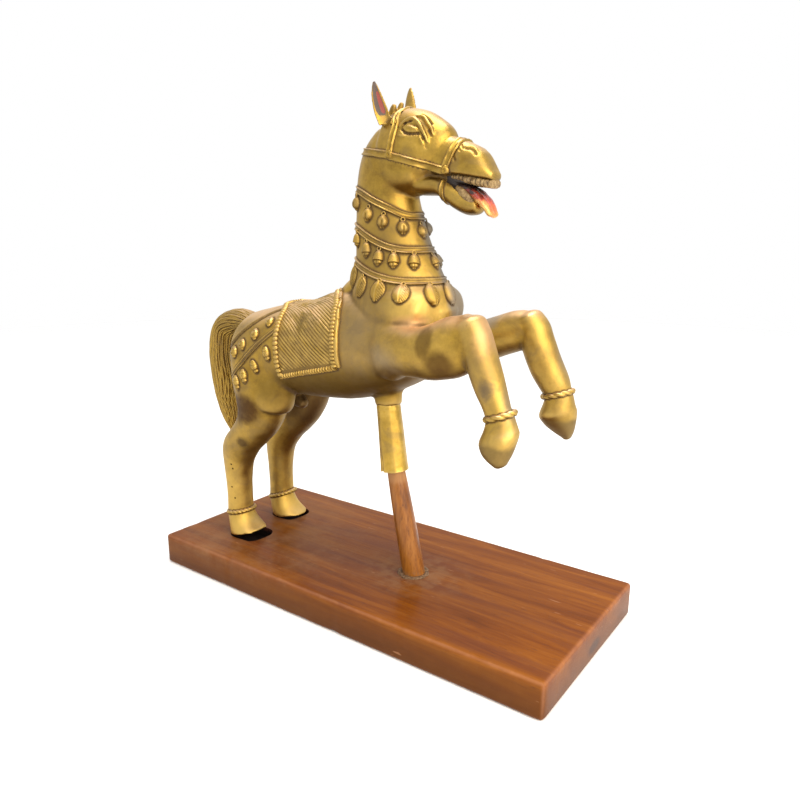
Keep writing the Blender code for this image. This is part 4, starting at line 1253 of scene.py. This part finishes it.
def laid(name, path, sections, closed=False, ease=4):
    """A bar along a path of (place, normal).

    The sections hold its outline at each place, as across and up, anticlockwise.
    """
    places = np.array([place for place, _ in path])
    normals = eased(np.array([normal for _, normal in path]), closed, ease)
    if closed:
        along = unit(np.roll(places, -1, axis=0) - np.roll(places, 1, axis=0))
    else:
        along = unit(np.gradient(places, axis=0))
    side = unit(np.cross(along, normals))
    count, sides = sections.shape[:2]
    if closed:
        bpy.ops.mesh.primitive_torus_add(
            major_segments=count, minor_segments=sides, major_radius=1, minor_radius=0.3
        )
    else:
        bpy.ops.mesh.primitive_uv_sphere_add(segments=sides, ring_count=count + 1, radius=1)
    bar = named(name)
    x, y, z = (points_of(bar) * MM).T
    if closed:
        station = np.rint(np.arctan2(y, x) / (2 * np.pi) * count).astype(int) % count
        corner = np.rint(np.arctan2(z, np.hypot(x, y) - 1) / (2 * np.pi) * sides).astype(int) % sides
        out = sections[station, corner]
    else:
        station = count - np.rint(np.arccos(np.clip(z, -1, 1)) / np.pi * (count + 1)).astype(int)
        pole = (station < 0) | (station >= count)
        station = np.clip(station, 0, count - 1)
        corner = -np.rint(np.arctan2(y, x) / (2 * np.pi) * sides).astype(int) % sides
        out = np.where(pole[:, None], sections[station].mean(axis=1), sections[station, corner])
    set_points(bar, places[station] + side[station] * out[:, :1] + normals[station] * out[:, 1:])
    return smoothed(bar, 50)


def repeated(outline, count, *size):
    """The same outline, given as shares of a width and a rise, at each place of a path."""
    return np.repeat((np.array(outline) * size)[None], count, axis=0)


def strap(name, path, width, rise, closed=False):
    """A flat strap with two raised edges, which taper at its ends unless it is closed."""
    foot = -STRAP_SUNK / rise
    other = [(-x, y) for x, y in STRAP_OUTLINE[::-1]]
    sections = repeated([(0.5, foot), *STRAP_OUTLINE, *other, (-0.5, foot)], len(path), width, rise)
    share = np.linspace(0, 1, len(path))
    waver = 1 + 0.035 * unevenness(np.array([place for place, _ in path]), 11, len(path))
    if not closed:
        waver = waver * np.clip(np.minimum(share, 1 - share) * 14 + 0.72, 0, 1)
    sections[:, 1:-1, 1] *= waver[:, None]
    return laid(name, path, sections, closed)


def arc(middle, up, start, stop):
    """Points round the head in the plane of up and Y, from one angle to another."""
    up = unit(up)
    path = []
    for angle in np.radians(np.arange(start, stop + 0.01, ARC_STEP)):
        out = up * math.sin(angle) + np.array((0, 1, 0)) * math.cos(angle)
        path.append(head_skin.towards(np.array(middle) + out * ARC_REACH, middle))
    return path


for number, heights in enumerate(COLLARS, 1):
    angles, levels = np.array(heights).T
    round_neck = np.arange(-180, 180, 3)
    level = np.interp(np.abs(round_neck), angles, levels)
    for _ in range(6):
        level = (np.roll(level, 1) + 2 * level + np.roll(level, -1)) / 4
    path = [neck_and_body.neck(angle, high) for angle, high in zip(round_neck, level)]
    collar = strap(f"neck_collar_{number}", path, *COLLAR_STRAP, closed=True)
    body_skin.gather_shade_and_dirt(collar)
    if number == 1:
        head_skin.gather_shade_and_dirt(collar)
    cast(collar, brass(f"collar_brass_{number}", 0.42, FRONT_STAINS_AND_LIGHT, 0.04))

bridle = [strap("round band", arc(*band), *size) for band, size in (
    (NOSE_BAND, BRIDLE_STRAP), (THROAT_BAND, THROAT_STRAP),
    (NAPE_BAND, BRIDLE_STRAP), (POLL_BAND, BRIDLE_STRAP),
)]


def knot():
    """A flattened loop of the strap with a dimple in it, made once at the origin."""
    width, length, rise = KNOT
    shape = [(0.72, 0.55), (0.4, 0.9), (0, 1), (-0.4, 0.95), (-0.72, 0.6)]  # along, and thickness there
    rows = [(0, 0.5 * length * along, 0, rise * thick, 0.5 * width * thick) for along, thick in shape]
    ball = drawn_out("knot", rows, 28, 4, (0.6, 0.6), 2.2, across=(1, 0, 0))
    rows = points_of(ball)
    size = np.hypot(rows[:, 0] / width, (rows[:, 1] + 0.4) / length)
    dimple = 0.55 * np.exp(-((size / 0.13) ** 2)) - 0.12 * np.exp(-(((size - 0.3) / 0.08) ** 2))
    rows[:, 2] -= (rows[:, 2] > 0) * rise * dimple
    set_points(ball, rows)
    return ball


def hung(model, place, normal, size=1.0, lean=0.0):
    """A copy of a model made at the origin, set on the skin with its top upwards."""
    up = np.array((math.sin(lean), 0.0, math.cos(lean)))
    up = unit(up - normal * up.dot(normal))
    side = np.cross(up, normal)
    copy = model.copy()
    copy.data = model.data.copy()
    bpy.context.scene.collection.objects.link(copy)
    turn = Matrix(np.column_stack([side, up, normal]) * size).to_4x4()
    copy.data.transform(Matrix.Translation(Vector(place) * MM) @ turn)
    return copy


model = knot()
for side in (-1, 1):
    for spots in (LONG_BAND, CHEEK_BAND):
        band = [head_skin.flank(x, z, side) for x, z in spline(spots, 5)]
        bridle.append(strap("side band", band, *BRIDLE_STRAP))
    for x, z, lean in KNOTS:
        bridle.append(hung(model, *head_skin.flank(x, z, side), lean=lean))
bpy.data.objects.remove(model)
bridle = joined("bridle", bridle)
rows = points_of(bridle)
raised(bridle, 0.16 * unevenness(rows, 4.5, 61) + 0.1 * unevenness(rows, 9, 62))
smoothed(bridle, 50)
head_skin.gather_shade_and_dirt(bridle, 1.8, on_piece=False)
# The bridle is cleaner and less rubbed than the collars.
hollow = hollows(bridle, 3)
mark(bridle, "grime", np.clip(hollow / 0.25, 0, 1) * 0.25)
mark(bridle, "rubbed", np.clip(-hollow / 0.3, 0, 0.5))
cast(bridle, brass("bridle_brass", 0.40, bright=0.03))


# ---------------------------------------------------------------- the bells on the neck
# Three rows of bells hang under the collars: round ones with a slit, long ones with a rim,
# and flat drops ribbed like a feather on one side.  They are half round and cast on.

# Heights by the angle from the front, and the angles of the bells round the neck, then their size.
ROUND_BELLS = ([(0, 396.5), (38, 400.2), (75, 406), (109, 413), (143, 424), (180, 430)],
               [-143, -109, -75.5, -38.5, -4, 31, 67, 102, 137, 174], 1.12)
LONG_BELLS = ([(0, 368), (54, 369.8), (79, 372.2), (107, 380), (136, 388.5), (180, 397)],
              [-136, -107, -79, -54, -28, 2, 30, 57, 83, 111, 139, 168], 1.08)
FEATHERS = ([(0, 338.6), (47, 339.5), (73, 341), (105, 344.6), (140, 352.4), (180, 358)],
            [-140, -105, -73, -47, -20, 4, 60, 88, 118, 149, 179], 1.16)
SMALL_LOOP = (1.7, 0.62)  # radius, and that of its wire


def turned(name, profile, sides=28):
    """A bell at the origin, from rows of height, half width and rise, from its top down."""
    rows = [(0, y, 0, rise, half_width) for y, half_width, rise in profile]
    return drawn_out(name, rows, sides, 4, (0.7, 0.7), across=(1, 0, 0))


def loop_at(height):
    """The flat loop that a bell hangs from."""
    radius, thick = SMALL_LOOP
    bpy.ops.mesh.primitive_torus_add(
        location=(0, height * MM, 1.5 * MM), major_segments=16, minor_segments=8,
        major_radius=radius * MM, minor_radius=thick * MM,
    )
    return named("loop")


def pressed(thing, dent):
    """Lowers the front of a bell by what dent gives for its x and y."""
    rows = points_of(thing)
    rows[:, 2] -= dent(rows[:, 0], rows[:, 1]) * (rows[:, 2] > 0.8)
    set_points(thing, rows)
    return thing


def round_bell():
    """A ball with a slit in its lower front."""
    ball = turned("ball", [
        (4.6, 2.1, 2.4), (2.6, 4.0, 4.0), (-0.4, 4.9, 5.0), (-3.4, 4.3, 4.6), (-5.6, 2.2, 2.6),
    ])
    pressed(ball, lambda x, y: 1.8 * np.exp(-((x - 0.4) / 0.75) ** 2) * np.clip((1.5 - y) / 2, 0, 1))
    return joined("round bell", [ball, loop_at(6.2)])


def long_bell():
    """A cup with a rim, and a slit in the tip that hangs out of it."""
    ball = turned("ball", [
        (5.4, 1.9, 2.2), (3.4, 3.7, 3.7), (0.2, 4.6, 4.6), (-2.2, 5.0, 4.9), (-3.0, 5.0, 4.8),
        (-3.6, 3.9, 3.4), (-5.2, 3.6, 3.3), (-6.8, 1.8, 1.9),
    ])
    pressed(ball, lambda x, y: 0.9 * np.exp(-(x / 0.6) ** 2) * np.clip((-3.2 - y) / 1, 0, 1))
    return joined("long bell", [ball, loop_at(6.8)])


def feather():
    """A flat drop with a groove down its front."""
    leaf = turned("leaf", [
        (8.0, 3.6, 2.4), (5.2, 5.9, 3.4), (1.4, 7.2, 4.0), (-3.0, 7.1, 4.0), (-6.4, 5.6, 3.5),
        (-8.4, 3.6, 2.6),
    ], 44)

    def ribs(x, y):
        """Barbs slant down one side of a groove."""
        barbs = 1.15 * np.abs(np.sin((y + 0.8 * x) * np.pi / 2.3)) * np.clip((x - 0.9) / 0.8, 0, 1)
        return barbs * np.clip((7.4 - x) / 2, 0, 1) + 1.3 * np.exp(-((x - 0.5) / 0.55) ** 2)

    return joined("feather", [pressed(leaf, ribs), loop_at(8.8)])


for name, make, (levels, angles, size) in (
    ("round_bells", round_bell, ROUND_BELLS), ("long_bells", long_bell, LONG_BELLS),
    ("feather_drops", feather, FEATHERS),
):
    draw = np.random.default_rng(len(name))
    model = make()
    row = []
    for angle in angles:
        high = np.interp(abs(angle), *np.array(levels).T) + draw.uniform(-0.4, 0.4)
        place, normal = neck_and_body.neck(angle, high)
        row.append(hung(model, place, normal, size * draw.uniform(0.94, 1.05), draw.uniform(-0.12, 0.12)))
    bpy.data.objects.remove(model)
    row = smoothed(joined(name, row))
    body_skin.gather_shade_and_dirt(row, 2.0)
    cast(row, brass(name + "_brass", 0.56, FRONT_STAINS_AND_LIGHT, -0.03))


# ---------------------------------------------------------------- the saddle cloth
# A cloth cast in low relief lies over the back.  Its field is combed with slanting ridges, a
# row of round beads runs down its front and rear edges, its lower hem is ribbed, and a smooth
# band closes it in front.

CLOTH_RISE = 1.1
CLOTH_SUNK = 3.0
# Its rear and front edge, by the share of the depth from the back to the hem.
CLOTH_REAR = [(0, -106), (0.12, -109.5), (0.25, -108.5), (0.43, -97), (0.62, -90), (0.8, -86.4), (1, -85)]
CLOTH_FRONT = [(0, -47), (0.22, -25.5), (0.42, -9.5), (0.6, -2.2), (0.8, 0), (1, 0.5)]
CLOTH_DROP = (36.0, 18.0)  # angle of the lower hem below the horizontal, rear and front
CLOTH_AXIS_Z = 285.0
CLOTH_SPAN = (80.0, 98.0)  # its length, and its depth from the back to the hem
COMB = (2.7, 38.0)  # pitch of the ridges and their slant
COMB_HIGH = 0.7
COMB_OUTLINE = [(0.46, -0.6), (0.40, 0.35), (0.16, 1.0), (-0.16, 1.0), (-0.40, 0.35), (-0.46, -0.6)]
COMB_ENDS = (0.035, 0.03, 0.955)  # behind the rear edge, before the front bead, and above the hem
SHEET_GRID = (46, 121)
EDGE_BEAD = (3.2, 4.1)  # radius and pitch
FRONT_BEAD_AT = 0.925  # share of the length
EDGE_DIP = (1.3, 0.03, 0.34)  # how far the edges sink at the withers, and the middle and reach there
FRONT_BAND_AT = 0.974
BAND_OUTLINE = [(0.5, -1.2), (0.5, 0.5), (0.32, 1.0), (-0.32, 1.0), (-0.5, 0.5), (-0.5, -1.2)]
BAND_SIZE = (4.8, 1.9)  # width and rise
HEM_OUTLINE = [(0.5, -0.6), (0.56, 0.2), (0.36, 0.9), (0, 1.0), (-0.36, 0.9), (-0.56, 0.2), (-0.5, -0.6)]
HEM_SIZE = (5.4, 2.0)
HEM_RIBS = (22, 2.3)  # how many along each side, and their rise


def cloth_point(along, around, side):
    """The skin's place and normal, in one row, at a share of the length and of the depth."""
    drop = CLOTH_DROP[0] + (CLOTH_DROP[1] - CLOTH_DROP[0]) * along
    angle = math.radians(90 - (90 + drop) * around)
    rear = np.interp(around, *np.array(CLOTH_REAR).T)
    front = np.interp(around, *np.array(CLOTH_FRONT).T)
    centre = np.array((rear + (front - rear) * along, 0, CLOTH_AXIS_Z))
    out = np.array((0, side * math.cos(angle), math.sin(angle)))
    return np.r_[neck_and_body.towards(centre + out * 200, centre)]


LONG_POSTS, DEEP_POSTS, FINER = 15, 45, 6  # posts of the cloth, and how many times finer it is drawn
posts = np.array([
    [cloth_point(u, abs(v), -1 if v < 0 else 1) for v in np.linspace(-1, 1, DEEP_POSTS)]
    for u in np.linspace(0, 1, LONG_POSTS)
])
dense = spline(posts.reshape(LONG_POSTS, -1), FINER).reshape(-1, DEEP_POSTS, 6)
across = np.swapaxes(dense, 0, 1).reshape(DEEP_POSTS, -1)
dense = np.swapaxes(spline(across, FINER).reshape(-1, len(dense), 6), 0, 1)


def on_cloth(u, v):
    """The skin's place and normal at a share of the length and a signed share of the depth."""
    long, deep = dense.shape[:2]
    i = np.clip(np.asarray(u) * (long - 1), 0, long - 1.001)
    j = np.clip((np.asarray(v) + 1) / 2 * (deep - 1), 0, deep - 1.001)
    a, b = i.astype(int), j.astype(int)
    s, t = (i - a)[..., None], (j - b)[..., None]
    found = (dense[a, b] * (1 - s) * (1 - t) + dense[a + 1, b] * s * (1 - t)
             + dense[a, b + 1] * (1 - s) * t + dense[a + 1, b + 1] * s * t)
    return found[..., :3], unit(found[..., 3:])


def path_on_cloth(u, v, lift=CLOTH_RISE):
    """A path of (place, normal) that runs over the cloth at a height above the skin."""
    spots, normals = on_cloth(u, v)
    return list(zip(spots + normals * lift, normals))


def edge_path(u, v, lift=CLOTH_RISE):
    """A path down from the back on both sides, which sinks a little at the withers."""
    dip, middle, reach = EDGE_DIP
    return path_on_cloth(0 * v + u, v, (lift - dip * np.exp(-(((v - middle) / reach) ** 2)))[:, None])


bpy.ops.mesh.primitive_grid_add(
    x_subdivisions=SHEET_GRID[0] - 1, y_subdivisions=SHEET_GRID[1] - 1, size=2
)
sheet = named("cloth sheet")
rows = points_of(sheet) * MM
spots, normals = on_cloth((rows[:, 0] + 1) / 2, rows[:, 1])
set_points(sheet, spots + normals * CLOTH_RISE)
worked(sheet, "SOLIDIFY", thickness=(CLOTH_RISE + CLOTH_SUNK) * MM, offset=-1)


def beaded(count, length, radius, pitch, sides=12, depth=0.45, slant=0):
    """Outlines of a string of beads or, with a slant of 2, of two twisted strands."""
    far = np.linspace(0, length, count, endpoint=False)[:, None]
    beads = round(length / pitch)
    turn = np.arange(sides) * 2 * np.pi / sides
    swell = 1 - depth + depth * np.abs(np.sin(np.pi * beads * far / length + turn * slant / 2)) ** 0.8
    return np.stack([np.cos(turn) * swell, np.sin(turn) * swell], axis=-1) * radius


def length_of(path):
    """How long a path of (place, normal) is, in millimetres."""
    rows = np.array([place for place, _ in path])
    return np.linalg.norm(np.diff(rows, axis=0), axis=1).sum()


parts = [sheet]
down = np.linspace(-1, 1, 700)
for u in (0.0, FRONT_BEAD_AT):
    path = edge_path(u, down, CLOTH_RISE + 0.3)
    beads = beaded(len(path), length_of(path), *EDGE_BEAD) * (1.15, 0.9)
    parts.append(laid("edge bead", path, beads, ease=2))
path = edge_path(FRONT_BAND_AT, down[::6])
parts.append(laid("front band", path, repeated(BAND_OUTLINE, len(path), *BAND_SIZE)))
along = np.linspace(0, FRONT_BEAD_AT + 0.02, 360)
ribs = np.clip(0.5 + np.cos(np.arange(len(along)) * 2 * np.pi * HEM_RIBS[0] / len(along)), 0.03, 1)
for side in (-1, 1):
    path = path_on_cloth(along, 0 * along + side, CLOTH_RISE + 0.1)
    sections = repeated(HEM_OUTLINE, len(path), *HEM_SIZE)
    sections[:, 1:-1, 1] = np.array(HEM_OUTLINE)[1:-1, 1] * HEM_RIBS[1] * ribs[:, None]
    parts.append(laid("hem", path, sections, ease=2))

# The combed field: each ridge runs down and forward between the borders.
pitch, slant = COMB[0], math.radians(COMB[1])
long, deep = CLOTH_SPAN
draw = np.random.default_rng(7)
for start in np.arange(-long * math.tan(slant), deep, pitch / math.cos(slant)):
    first = max(COMB_ENDS[0] * long, -start / math.tan(slant))
    last = min((FRONT_BEAD_AT - COMB_ENDS[1]) * long, (COMB_ENDS[2] * deep - start) / math.tan(slant))
    if last - first < 3:
        continue
    far = np.linspace(first, last, max(4, int((last - first) / 5)))
    sections = repeated(COMB_OUTLINE, len(far), pitch, COMB_HIGH * draw.uniform(0.45, 1.15))
    sections[[0, -1]] *= 0.6
    for side in (-1, 1):
        path = path_on_cloth(far / long, side * (start + far * math.tan(slant)) / deep)
        parts.append(laid("ridge", path, sections, ease=1))
cloth = smoothed(joined("saddle_cloth", parts), 60)
raised(cloth, 0.10 * unevenness(points_of(cloth), 14, 41))
body_skin.gather_shade_and_dirt(cloth, on_piece=False)
# Dirt and painted shade fill the field between the ridges, up to half a millimetre above the sheet.
mark(cloth, "grime", np.clip((CLOTH_RISE + 0.55 - body_skin.above(points_of(cloth))) / 0.5, 0, 1) * 0.62)
mark(cloth, "rubbed", -hollows(cloth, 3) / 0.2)
cast(cloth, brass("cloth_brass", 0.54, bright=0.11, pitted=0.5))


# ---------------------------------------------------------------- the crupper
# Two straps slant down each side of the rump from the cloth.  Small slit bells hang under
# the upper one and longer ones, with a round tip, under the lower one.

UPPER_LINE = (2.6, 0.9)  # width and rise
LOWER_STRAP = (5.2, 1.3)
CRUPPER_LEAN = -0.28  # of its bells
CRUPPER_LOWER = [(-92, 296), (-111, 281), (-129, 265), (-148, 248), (-160, 237)]  # x and z
UPPER_BELLS = [(-107.5, 301.5), (-121.5, 288), (-138, 276), (-153, 266)]
LOWER_BELLS = [(-101, 269.5), (-120.5, 253.5), (-136.5, 241.5), (-149, 232.5)]


def slit_bell():
    """A ball with an oval slit pressed into its front."""
    ball = turned("ball", [
        (4.6, 2.4, 2.1), (2.4, 4.2, 3.7), (-0.6, 4.8, 4.3), (-3.4, 4.0, 3.8), (-5.2, 2.2, 2.2),
    ])
    return pressed(ball, lambda x, y: 1.3 * np.exp(-((np.hypot(x / 0.62, y) - 2.6) / 0.6) ** 2))


def tipped_bell():
    """A longer bell with a round tip."""
    ball = turned("ball", [
        (5.8, 2.5, 2.1), (3.6, 3.9, 3.6), (0.6, 4.4, 4.2), (-2.4, 3.9, 3.8), (-3.8, 2.8, 2.7),
        (-4.8, 3.2, 3.2), (-6.4, 2.9, 2.9), (-7.4, 1.4, 1.5),
    ])

    def grooves(x, y):
        """A groove slants across the front, and a slit goes down from it."""
        slit = 0.9 * np.exp(-(x / 0.6) ** 2) * np.clip((1.2 - y) / 1, 0, 1) * (y > -3)
        return 0.8 * np.exp(-((y - 2.2 + 0.2 * x) / 0.5) ** 2) + slit

    return pressed(ball, grooves)


parts = []
for side in (-1, 1):
    for spots, steps, size in ((CRUPPER_UPPER, 5, UPPER_LINE), (CRUPPER_LOWER, 8, LOWER_STRAP)):
        path = [body_skin.flank(x, z, side) for x, z in spline(spots, steps)]
        parts.append(strap("crupper strap", path, *size))
for make, spots in ((slit_bell, UPPER_BELLS), (tipped_bell, LOWER_BELLS)):
    model = make()
    for x, z in spots:
        for side in (-1, 1):
            place, normal = body_skin.flank(x, z, side)
            parts.append(hung(model, place, normal, draw.uniform(1.02, 1.14), CRUPPER_LEAN))
    bpy.data.objects.remove(model)
crupper = smoothed(joined("crupper", parts), 50)
body_skin.gather_shade_and_dirt(crupper, 2.2)
cast(crupper, brass("crupper_brass", 0.40, bright=0.05))


# ---------------------------------------------------------------- the tail
# The tail leaves the rump in a high arch and hangs close behind the legs.  Its hair is cut
# into the wax as long wavy locks, dark between the strands.

TAIL = [
    (-172, 0, 284, 11, 13), (-186, 0, 290, 12, 14.5), (-211, 0, 292.5, 13, 16), (-234, 0, 281, 15, 17),
    (-242, 0, 255, 16.2, 18), (-240.4, 0, 220, 16, 17.5), (-236.6, 0, 190, 14.4, 15),
    (-231.5, 0, 168, 11, 12),
    (-228.5, 0, 153, 6.5, 7),
]
TAIL_SIDES, TAIL_STEPS = 224, 22
LOCKS = (11, 19)  # broad and fine locks round half the tail
LOCK_DEPTH = (0.075, 0.055)


def combed(turn, share):
    """The tail's section: fine wavy locks on broad ones."""
    broad = LOCKS[0] * turn + 1.1 * np.sin(share * 16 + turn) + 0.5 * np.sin(share * 31)
    fine = LOCKS[1] * turn + 1.3 * np.sin(share * 22 + 2 * turn) - 0.6 * np.sin(share * 37)
    broad, fine = np.abs(np.sin(broad)) ** 0.7, np.abs(np.sin(fine)) ** 0.8
    swell = 1 + LOCK_DEPTH[0] * (broad - 0.62) + LOCK_DEPTH[1] * (fine - 0.62)
    return np.cos(turn) * swell, np.sin(turn) * swell


tail = smoothed(drawn_out("tail", TAIL, TAIL_SIDES, TAIL_STEPS, (0.6, 0.75), shape=combed))
weather_and_shade(tail, 5, 0.30)
cast(tail, brass("tail_brass", 0.42, bright=-0.01, pitted=0.5))


# ---------------------------------------------------------------- the anklets
# Each leg wears a cord of two twisted strands above its hoof.  The cords are cast with the
# legs, and dirt and painted shade fill the grooves between the strands.

FORE_ROPE, HIND_ROPE = (3.0, 7.4), (2.8, 4.6)  # radius and pitch of the twist
ANKLETS = [  # middle, radius, slope to the front and rope
    ((180.0, -59.0, 243.5), 12.0, 0.35, FORE_ROPE), ((180.5, 59.0, 242.0), 14.0, 0.28, FORE_ROPE),
    ((-182.8, -35.0, 65.0), 15.4, 0.20, HIND_ROPE), ((-182.6, 35.0, 65.0), 15.8, 0.34, HIND_ROPE),
]
parts = []
for middle, radius, slope, rope in ANKLETS:
    path = []
    for angle in np.radians(np.arange(0, 360, 2)):
        out = np.array((math.cos(angle), math.sin(angle), slope * math.cos(angle)))
        path.append((np.array(middle) + out * radius, unit(out)))
    parts.append(laid("anklet", path, beaded(len(path), 2 * np.pi * radius, *rope, 18, 0.34, 2), True))
anklets = smoothed(joined("anklets", parts))
body_skin.gather_shade_and_dirt(anklets, 1.2)
cast(anklets, brass("anklet_brass", 0.46, bright=0.02))


# ---------------------------------------------------------------- the sleeve
# A short tube rolled from sheet brass joins the stub under the belly to the wooden peg.  Its
# lapped seam has opened at the foot, where the edge is bent and torn.

SLEEVE_LOW, SLEEVE_HIGH = (np.array(corner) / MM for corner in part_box("sleeve"))
SLEEVE_TOP = (16.9, SLEEVE_HIGH[2] + 3.0, 12.9)  # x, z and radius; it goes up inside the stub
SLEEVE_FOOT = (25.3, SLEEVE_LOW[2], 15.1)
SLEEVE_WALL = 1.5
SLEEVE_SHAVED = 0.35  # how much thinner it is than its cone all along, to leave room for its bends
SLEEVE_LEAN = 0.13  # how much its lower edge rises to the front
SLEEVE_SIDES, SLEEVE_RINGS = 96, 56
SEAM_TURN = math.radians(-118)  # where the seam runs, round from the front
bpy.ops.mesh.primitive_cylinder_add(vertices=SLEEVE_SIDES, radius=1, depth=2, end_fill_type="NOTHING")
sleeve = named("sleeve_tube")
sliced(sleeve, 2, np.linspace(-1, 1, SLEEVE_RINGS + 1)[1:-1])
rows = points_of(sleeve) * MM
share = (1 - rows[:, 2]) / 2  # 0 at the top
turn = np.arctan2(rows[:, 1], rows[:, 0])
place = np.column_stack([np.cos(turn) * 13, np.sin(turn) * 13, share * 70])
seam = (turn - SEAM_TURN + np.pi) % (2 * np.pi) - np.pi
bend = 0.07 * unevenness(place, 40, 51) + 0.01 * unevenness(place, 12, 52)
lap = 0.55 * np.clip(1 - np.abs(seam + 0.16) / 0.16, 0, 1) ** 0.5 * (seam < 0)
crack = -0.9 * np.exp(-((seam - 0.10 - 0.10 * np.sin(share * 9)) / 0.035) ** 2)
crack = crack * np.clip((share - 0.72) / 0.1, 0, 1)
ring = 0.18 * np.exp(-((share - 0.075) / 0.02) ** 2)
flats = 0.20 * np.cos(7 * turn + 0.4 * np.sin(share * 3)) * np.clip(share * 3, 0, 1)
flare = 0.35 * np.clip((share - 0.93) / 0.07, 0, 1)
radius = SLEEVE_TOP[2] + (SLEEVE_FOOT[2] - SLEEVE_TOP[2]) * share
radius = radius + bend + lap + crack + ring + flats + flare - SLEEVE_SHAVED
ragged = 0.45 * np.clip(share - 0.9, 0, 0.1) * 10 * (0.5 + 0.5 * unevenness(place, 7, 53))
tear = 1.6 * np.exp(-((seam - 0.12) / 0.16) ** 2) * np.clip((share - 0.93) / 0.07, 0, 1)
rows[:, 0] = SLEEVE_TOP[0] + (SLEEVE_FOOT[0] - SLEEVE_TOP[0]) * share + radius * np.cos(turn)
rows[:, 1] = MID_Y + radius * np.sin(turn)
lift = np.clip(ragged + SLEEVE_LEAN * share * radius * np.cos(turn), -2, 4) + tear
rows[:, 2] = SLEEVE_TOP[1] - 0.1 + (SLEEVE_FOOT[1] - SLEEVE_TOP[1] + 0.2) * share + lift
set_points(sleeve, rows)
worked(sleeve, "SOLIDIFY", thickness=SLEEVE_WALL * MM, offset=-1)
weather_and_shade(sleeve, 6, 0.35)
smoothed(sleeve, 45)
dress(sleeve, "sleeve", brass("sheet_brass", 0.33, bright=0.04, pitted=0.1))


# ---------------------------------------------------------------- the studio
# A pale floor fades out round the plank, under an even white sky.  One soft lamp hangs
# overhead, and a larger and warmer one stands in front.

FLOOR_FADE = (2300, 2300, 2300)  # where the floor is half gone
bpy.ops.mesh.primitive_plane_add(size=8, location=(0, 0, 0))
floor = named("floor")
pale = Finish("pale_floor", Roughness=0.9, Specular_IOR_Level=0.1)
tone = pale.ramp(pale.noise(3.0, 2.0), [(0.3, (0.93, 0.93, 0.93)), (0.7, (0.95, 0.95, 0.945))])
pale.done(Base_Color=tone, Alpha=pale.spot((0, 0, 0), FLOOR_FADE, 0, 0.6))
floor.data.materials.append(pale.material)


def lamp(name, place, target, size, power, colour):
    """A soft rectangular lamp, with its sides in metres."""
    light = bpy.data.lights.new(name, "AREA")
    light.shape = "RECTANGLE"
    light.size, light.size_y = size
    light.energy, light.color = power, colour
    thing = bpy.data.objects.new(name, light)
    bpy.context.scene.collection.objects.link(thing)
    thing.location = place
    thing.rotation_euler = (Vector(target) - Vector(place)).to_track_quat("-Z", "Y").to_euler()


HEART = (0.0, 0.0, 0.26)  # what the lamps point at
lamp("overhead", (0.15, 0.05, 1.7), HEART, (1.1, 0.8), 19, (1.0, 0.95, 0.88))
lamp("front", (1.25, -0.42, 0.85), HEART, (1.4, 1.4), 25, (1.0, 0.90, 0.76))

world = bpy.data.worlds.new("studio")
bpy.context.scene.world = world
world.use_nodes = True
sky = world.node_tree.nodes["Background"]
sky.inputs["Color"].default_value = (1.0, 1.0, 1.0, 1.0)
sky.inputs["Strength"].default_value = 1.0

# The camera stands to the front and right of the horse, as high as its neck, and looks down a little.
CAMERA_PLACE = (0.448, -0.582, 0.391)
CAMERA_TURN = np.radians((90 - 13.15, -0.2, 36.08))
CAMERA_LENS = 31.37
camera = bpy.data.objects.new("camera", bpy.data.cameras.new("camera"))
bpy.context.scene.collection.objects.link(camera)
camera.data.sensor_width, camera.data.lens = 36.0, CAMERA_LENS
camera.location, camera.rotation_euler = CAMERA_PLACE, CAMERA_TURN
camera.data.clip_start = 0.01
bpy.context.scene.camera = camera
bpy.context.scene.view_settings.view_transform = "Standard"
